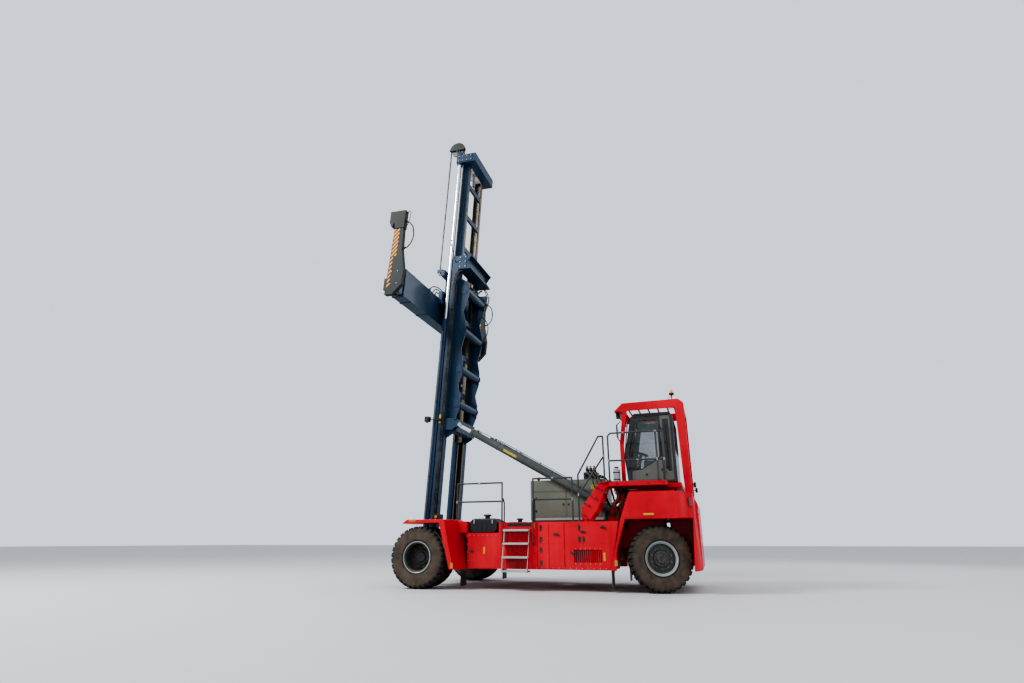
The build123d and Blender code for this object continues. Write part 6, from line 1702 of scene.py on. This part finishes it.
for x in (-3.90, -3.81, -3.72):
    rod_into(coils, x, 0.48, (2.69, 2.76), 0.036, 20)
    rod_into(coils, x, 0.34, (2.68, 2.73), 0.030, 20)
    rod_into(coils, x, (0.555, 0.600), 2.58, 0.022, 6)
    rod_into(coils, x, (0.255, 0.205), 2.55, 0.022, 6)
machine_piece("valve_coils", coils, black_plastic)
for number, (x, out, drop) in enumerate(((-3.90, 0.30, 0.52), (-3.81, 0.36, 0.46), (-3.72, 0.42, 0.40))):
    bow = ((x, 0, 2.58), (x - 0.04, 0.35, 2.62), (x - 0.16, 0.62, 2.50), (x - 0.30, 0.70, 2.16),
           (-4.24, 0.45, 1.80 + drop * 0.30), (-4.40, 0.10, 1.62 + drop * 0.1))
    run = [(along, 0.600 + out * share, z) for along, share, z in bow]
    hose(f"valve_hose_{number}", run, 0.016, hose_rubber, "chassis")
    lane = number * 0.05
    run = [(x, 0.205, 2.55), (x - 0.02, 0.10, 2.62), (x - 0.14, 0.00, 2.60), (-4.12, -0.06, 2.52),
           (-4.22, -0.10 - lane, 2.20), (-4.30, -0.12 - lane, 1.66)]
    hose(f"valve_return_{number}", run, 0.016, hose_rubber, "chassis")

# Lamps: red combination lamps on the rear corners, work lamps on the visor, two amber beacons and a red
# alarm lamp on the guard, and an amber lamp on the left fender. Hoses and pipes hang under the platform.
beacon_glass = lamp_glass("lamp_amber_glass", (0.85, 0.30, 0.01), 0.15)
BEACON = Vector((-6.01, -0.50, 4.285))
BEACON_CABLE = ((0.055, 0.0, 0.075), (0.16, 0.05, 0.060), (0.22, 0.16, 0.020), (0.24, 0.26, -0.045))
STALK_CABLE = ((-5.93, 0.675, 4.43), (-5.90, 0.70, 4.38), (-5.86, 0.72, 4.33), (-5.80, 0.70, 4.292))
LENS_Y = 0.56
LENS_Z = 4.001


def lamp_paint(at, out):
    """The beacon's dome in amber, the rear lamps in red, clear work lamps, and housings in black plastic."""
    if at.x < -6.29 or at.x > -4.551 and at.z > 3.9 and out.x > 0.9:
        return 3
    if at.z > BEACON.z + 0.085 and at.z > 4.3:
        return 1
    outward = at.x * out.x + at.y * out.y > 0
    return 2 if 1.70 < at.z < 1.95 and at.x < -5.4 and abs(out.z) < 0.5 and outward else 0


weldment("body_lamps", (black_plastic, beacon_glass, red_glass, clear_glass), 0.004,
         pick=lamp_paint)
lenses = bmesh.new()
hoods = bmesh.new()
for _, sign in SIDES:
    cube_into(lenses, (-4.5515, -4.5475), (sign * 0.512, sign * 0.608), (3.960, 4.042))
    width = flank(sign, LENS_Y, -0.056, 0.056)
    for half in (-1, 1):
        edge = flank(sign, LENS_Y, half * 0.056, half * 0.050)
        cube_into(hoods, (-4.550, -4.538), edge, (LENS_Z - 0.050, LENS_Z + 0.050))
        cube_into(hoods, (-4.550, -4.538), width, (LENS_Z + half * 0.053, LENS_Z + half * 0.047))
bar_into(hoods, BEACON + Vector((0, 0, 0.062)), BEACON + Vector((0, 0, 0.088)), 0.070, 32)
plate_into(hoods, (-0.325, -0.135), (1.565, 1.755), (1.645, 1.660), 0.004)
machine_piece("lamp_lenses", lenses, clear_glass)
machine_piece("lamp_hoods", hoods, black_plastic)
hose("beacon_cable", [BEACON + Vector(step) for step in BEACON_CABLE], 0.006, hose_rubber, "chassis")
stalk = bmesh.new()
rod_into(stalk, -5.93, 0.66, (4.284, 4.300), 0.040, 24)
rod_into(stalk, -5.93, 0.66, (4.29, 4.44), 0.012, 12)
rod_into(stalk, -5.93, 0.66, (4.435, 4.475), 0.062, 32)
machine_piece("beacon_stalk", stalk, black_plastic)
dome = bmesh.new()
rod_into(dome, -5.93, 0.66, (4.475, 4.545), 0.052, 32, 0.044)
rod_into(dome, -5.93, 0.66, (4.545, 4.565), 0.044, 32, 0.022)
machine_piece("beacon_dome", dome, beacon_glass)
hose("stalk_cable", STALK_CABLE, 0.006, hose_rubber, "chassis")
fender_lamp = bmesh.new()
rod_into(fender_lamp, -0.23, (1.758, 1.775), 1.60, 0.034, 28)
machine_piece("fender_lamp", fender_lamp, amber_glass)
for number, (x, y) in enumerate(((-4.44, 0.80), (-4.52, 0.88), (-4.60, 0.80), (-4.68, 0.90), (-4.50, 0.98))):
    run = [(x, y, 2.20), (x - 0.05, y + 0.07, 2.02), (x + 0.06, y + 0.10, 1.84), (x - 0.02, y + 0.02, 1.66),
           (x + 0.03, y - 0.04, 1.47)]
    hose(f"engine_hose_{number}", run, 0.021, hose_rubber if number % 2 else copper_pipe, "chassis")
red_pot = bmesh.new()
rod_into(red_pot, -6.03, 0.60, (3.93, 4.02), 0.052, 28, 0.060)
machine_piece("alarm_lamp", red_pot, red_glass)
pot_base = bmesh.new()
rod_into(pot_base, -6.03, 0.60, (4.015, 4.078), 0.066, 28)
machine_piece("alarm_base", pot_base, black_plastic)

# Washer tank and mirror: a blow-moulded grey tank strapped beside the front pillar, and a mirror on a
# bent arm from the guard.
tank_plastic = moulded("tank_plastic", (0.36, 0.38, 0.37), 0.4)
tank = bmesh.new()
plate_into(tank, (-4.60, -4.455), (0.90, 1.09), (2.322, 2.660), 0.026)
rod_into(tank, -4.527, 0.995, (2.655, 2.685), 0.045, 24)
machine_piece("washer_tank", tank, tank_plastic)
trim = bmesh.new()
rod_into(trim, -4.527, 0.995, (2.683, 2.708), 0.052, 24)
for z in (2.41, 2.57):
    plate_into(trim, (-4.604, -4.451), (0.896, 1.094), (z - 0.011, z + 0.011), 0.003)
bar_into(trim, (-4.66, 0.86, 3.30), (-4.60, 0.98, 3.38), 0.011, 12)
rod_into(trim, -4.60, 0.98, (3.38, 3.72), 0.011, 12)
bar_into(trim, (-4.66, 0.86, 3.80), (-4.60, 0.98, 3.72), 0.011, 12)
plate_into(trim, (-4.615, -4.585), (0.905, 1.075), (3.40, 3.70), 0.010)
machine_piece("mirror_frame", trim, black_plastic)
mirror = bmesh.new()
mirror_silver = metal("mirror_silver", (0.80, 0.82, 0.84), 0.04, stain=0.05)
plate_into(mirror, (-4.6175, -4.6145), (0.918, 1.062), (3.413, 3.687), 0.001)
machine_piece("mirror_face", mirror, mirror_silver)
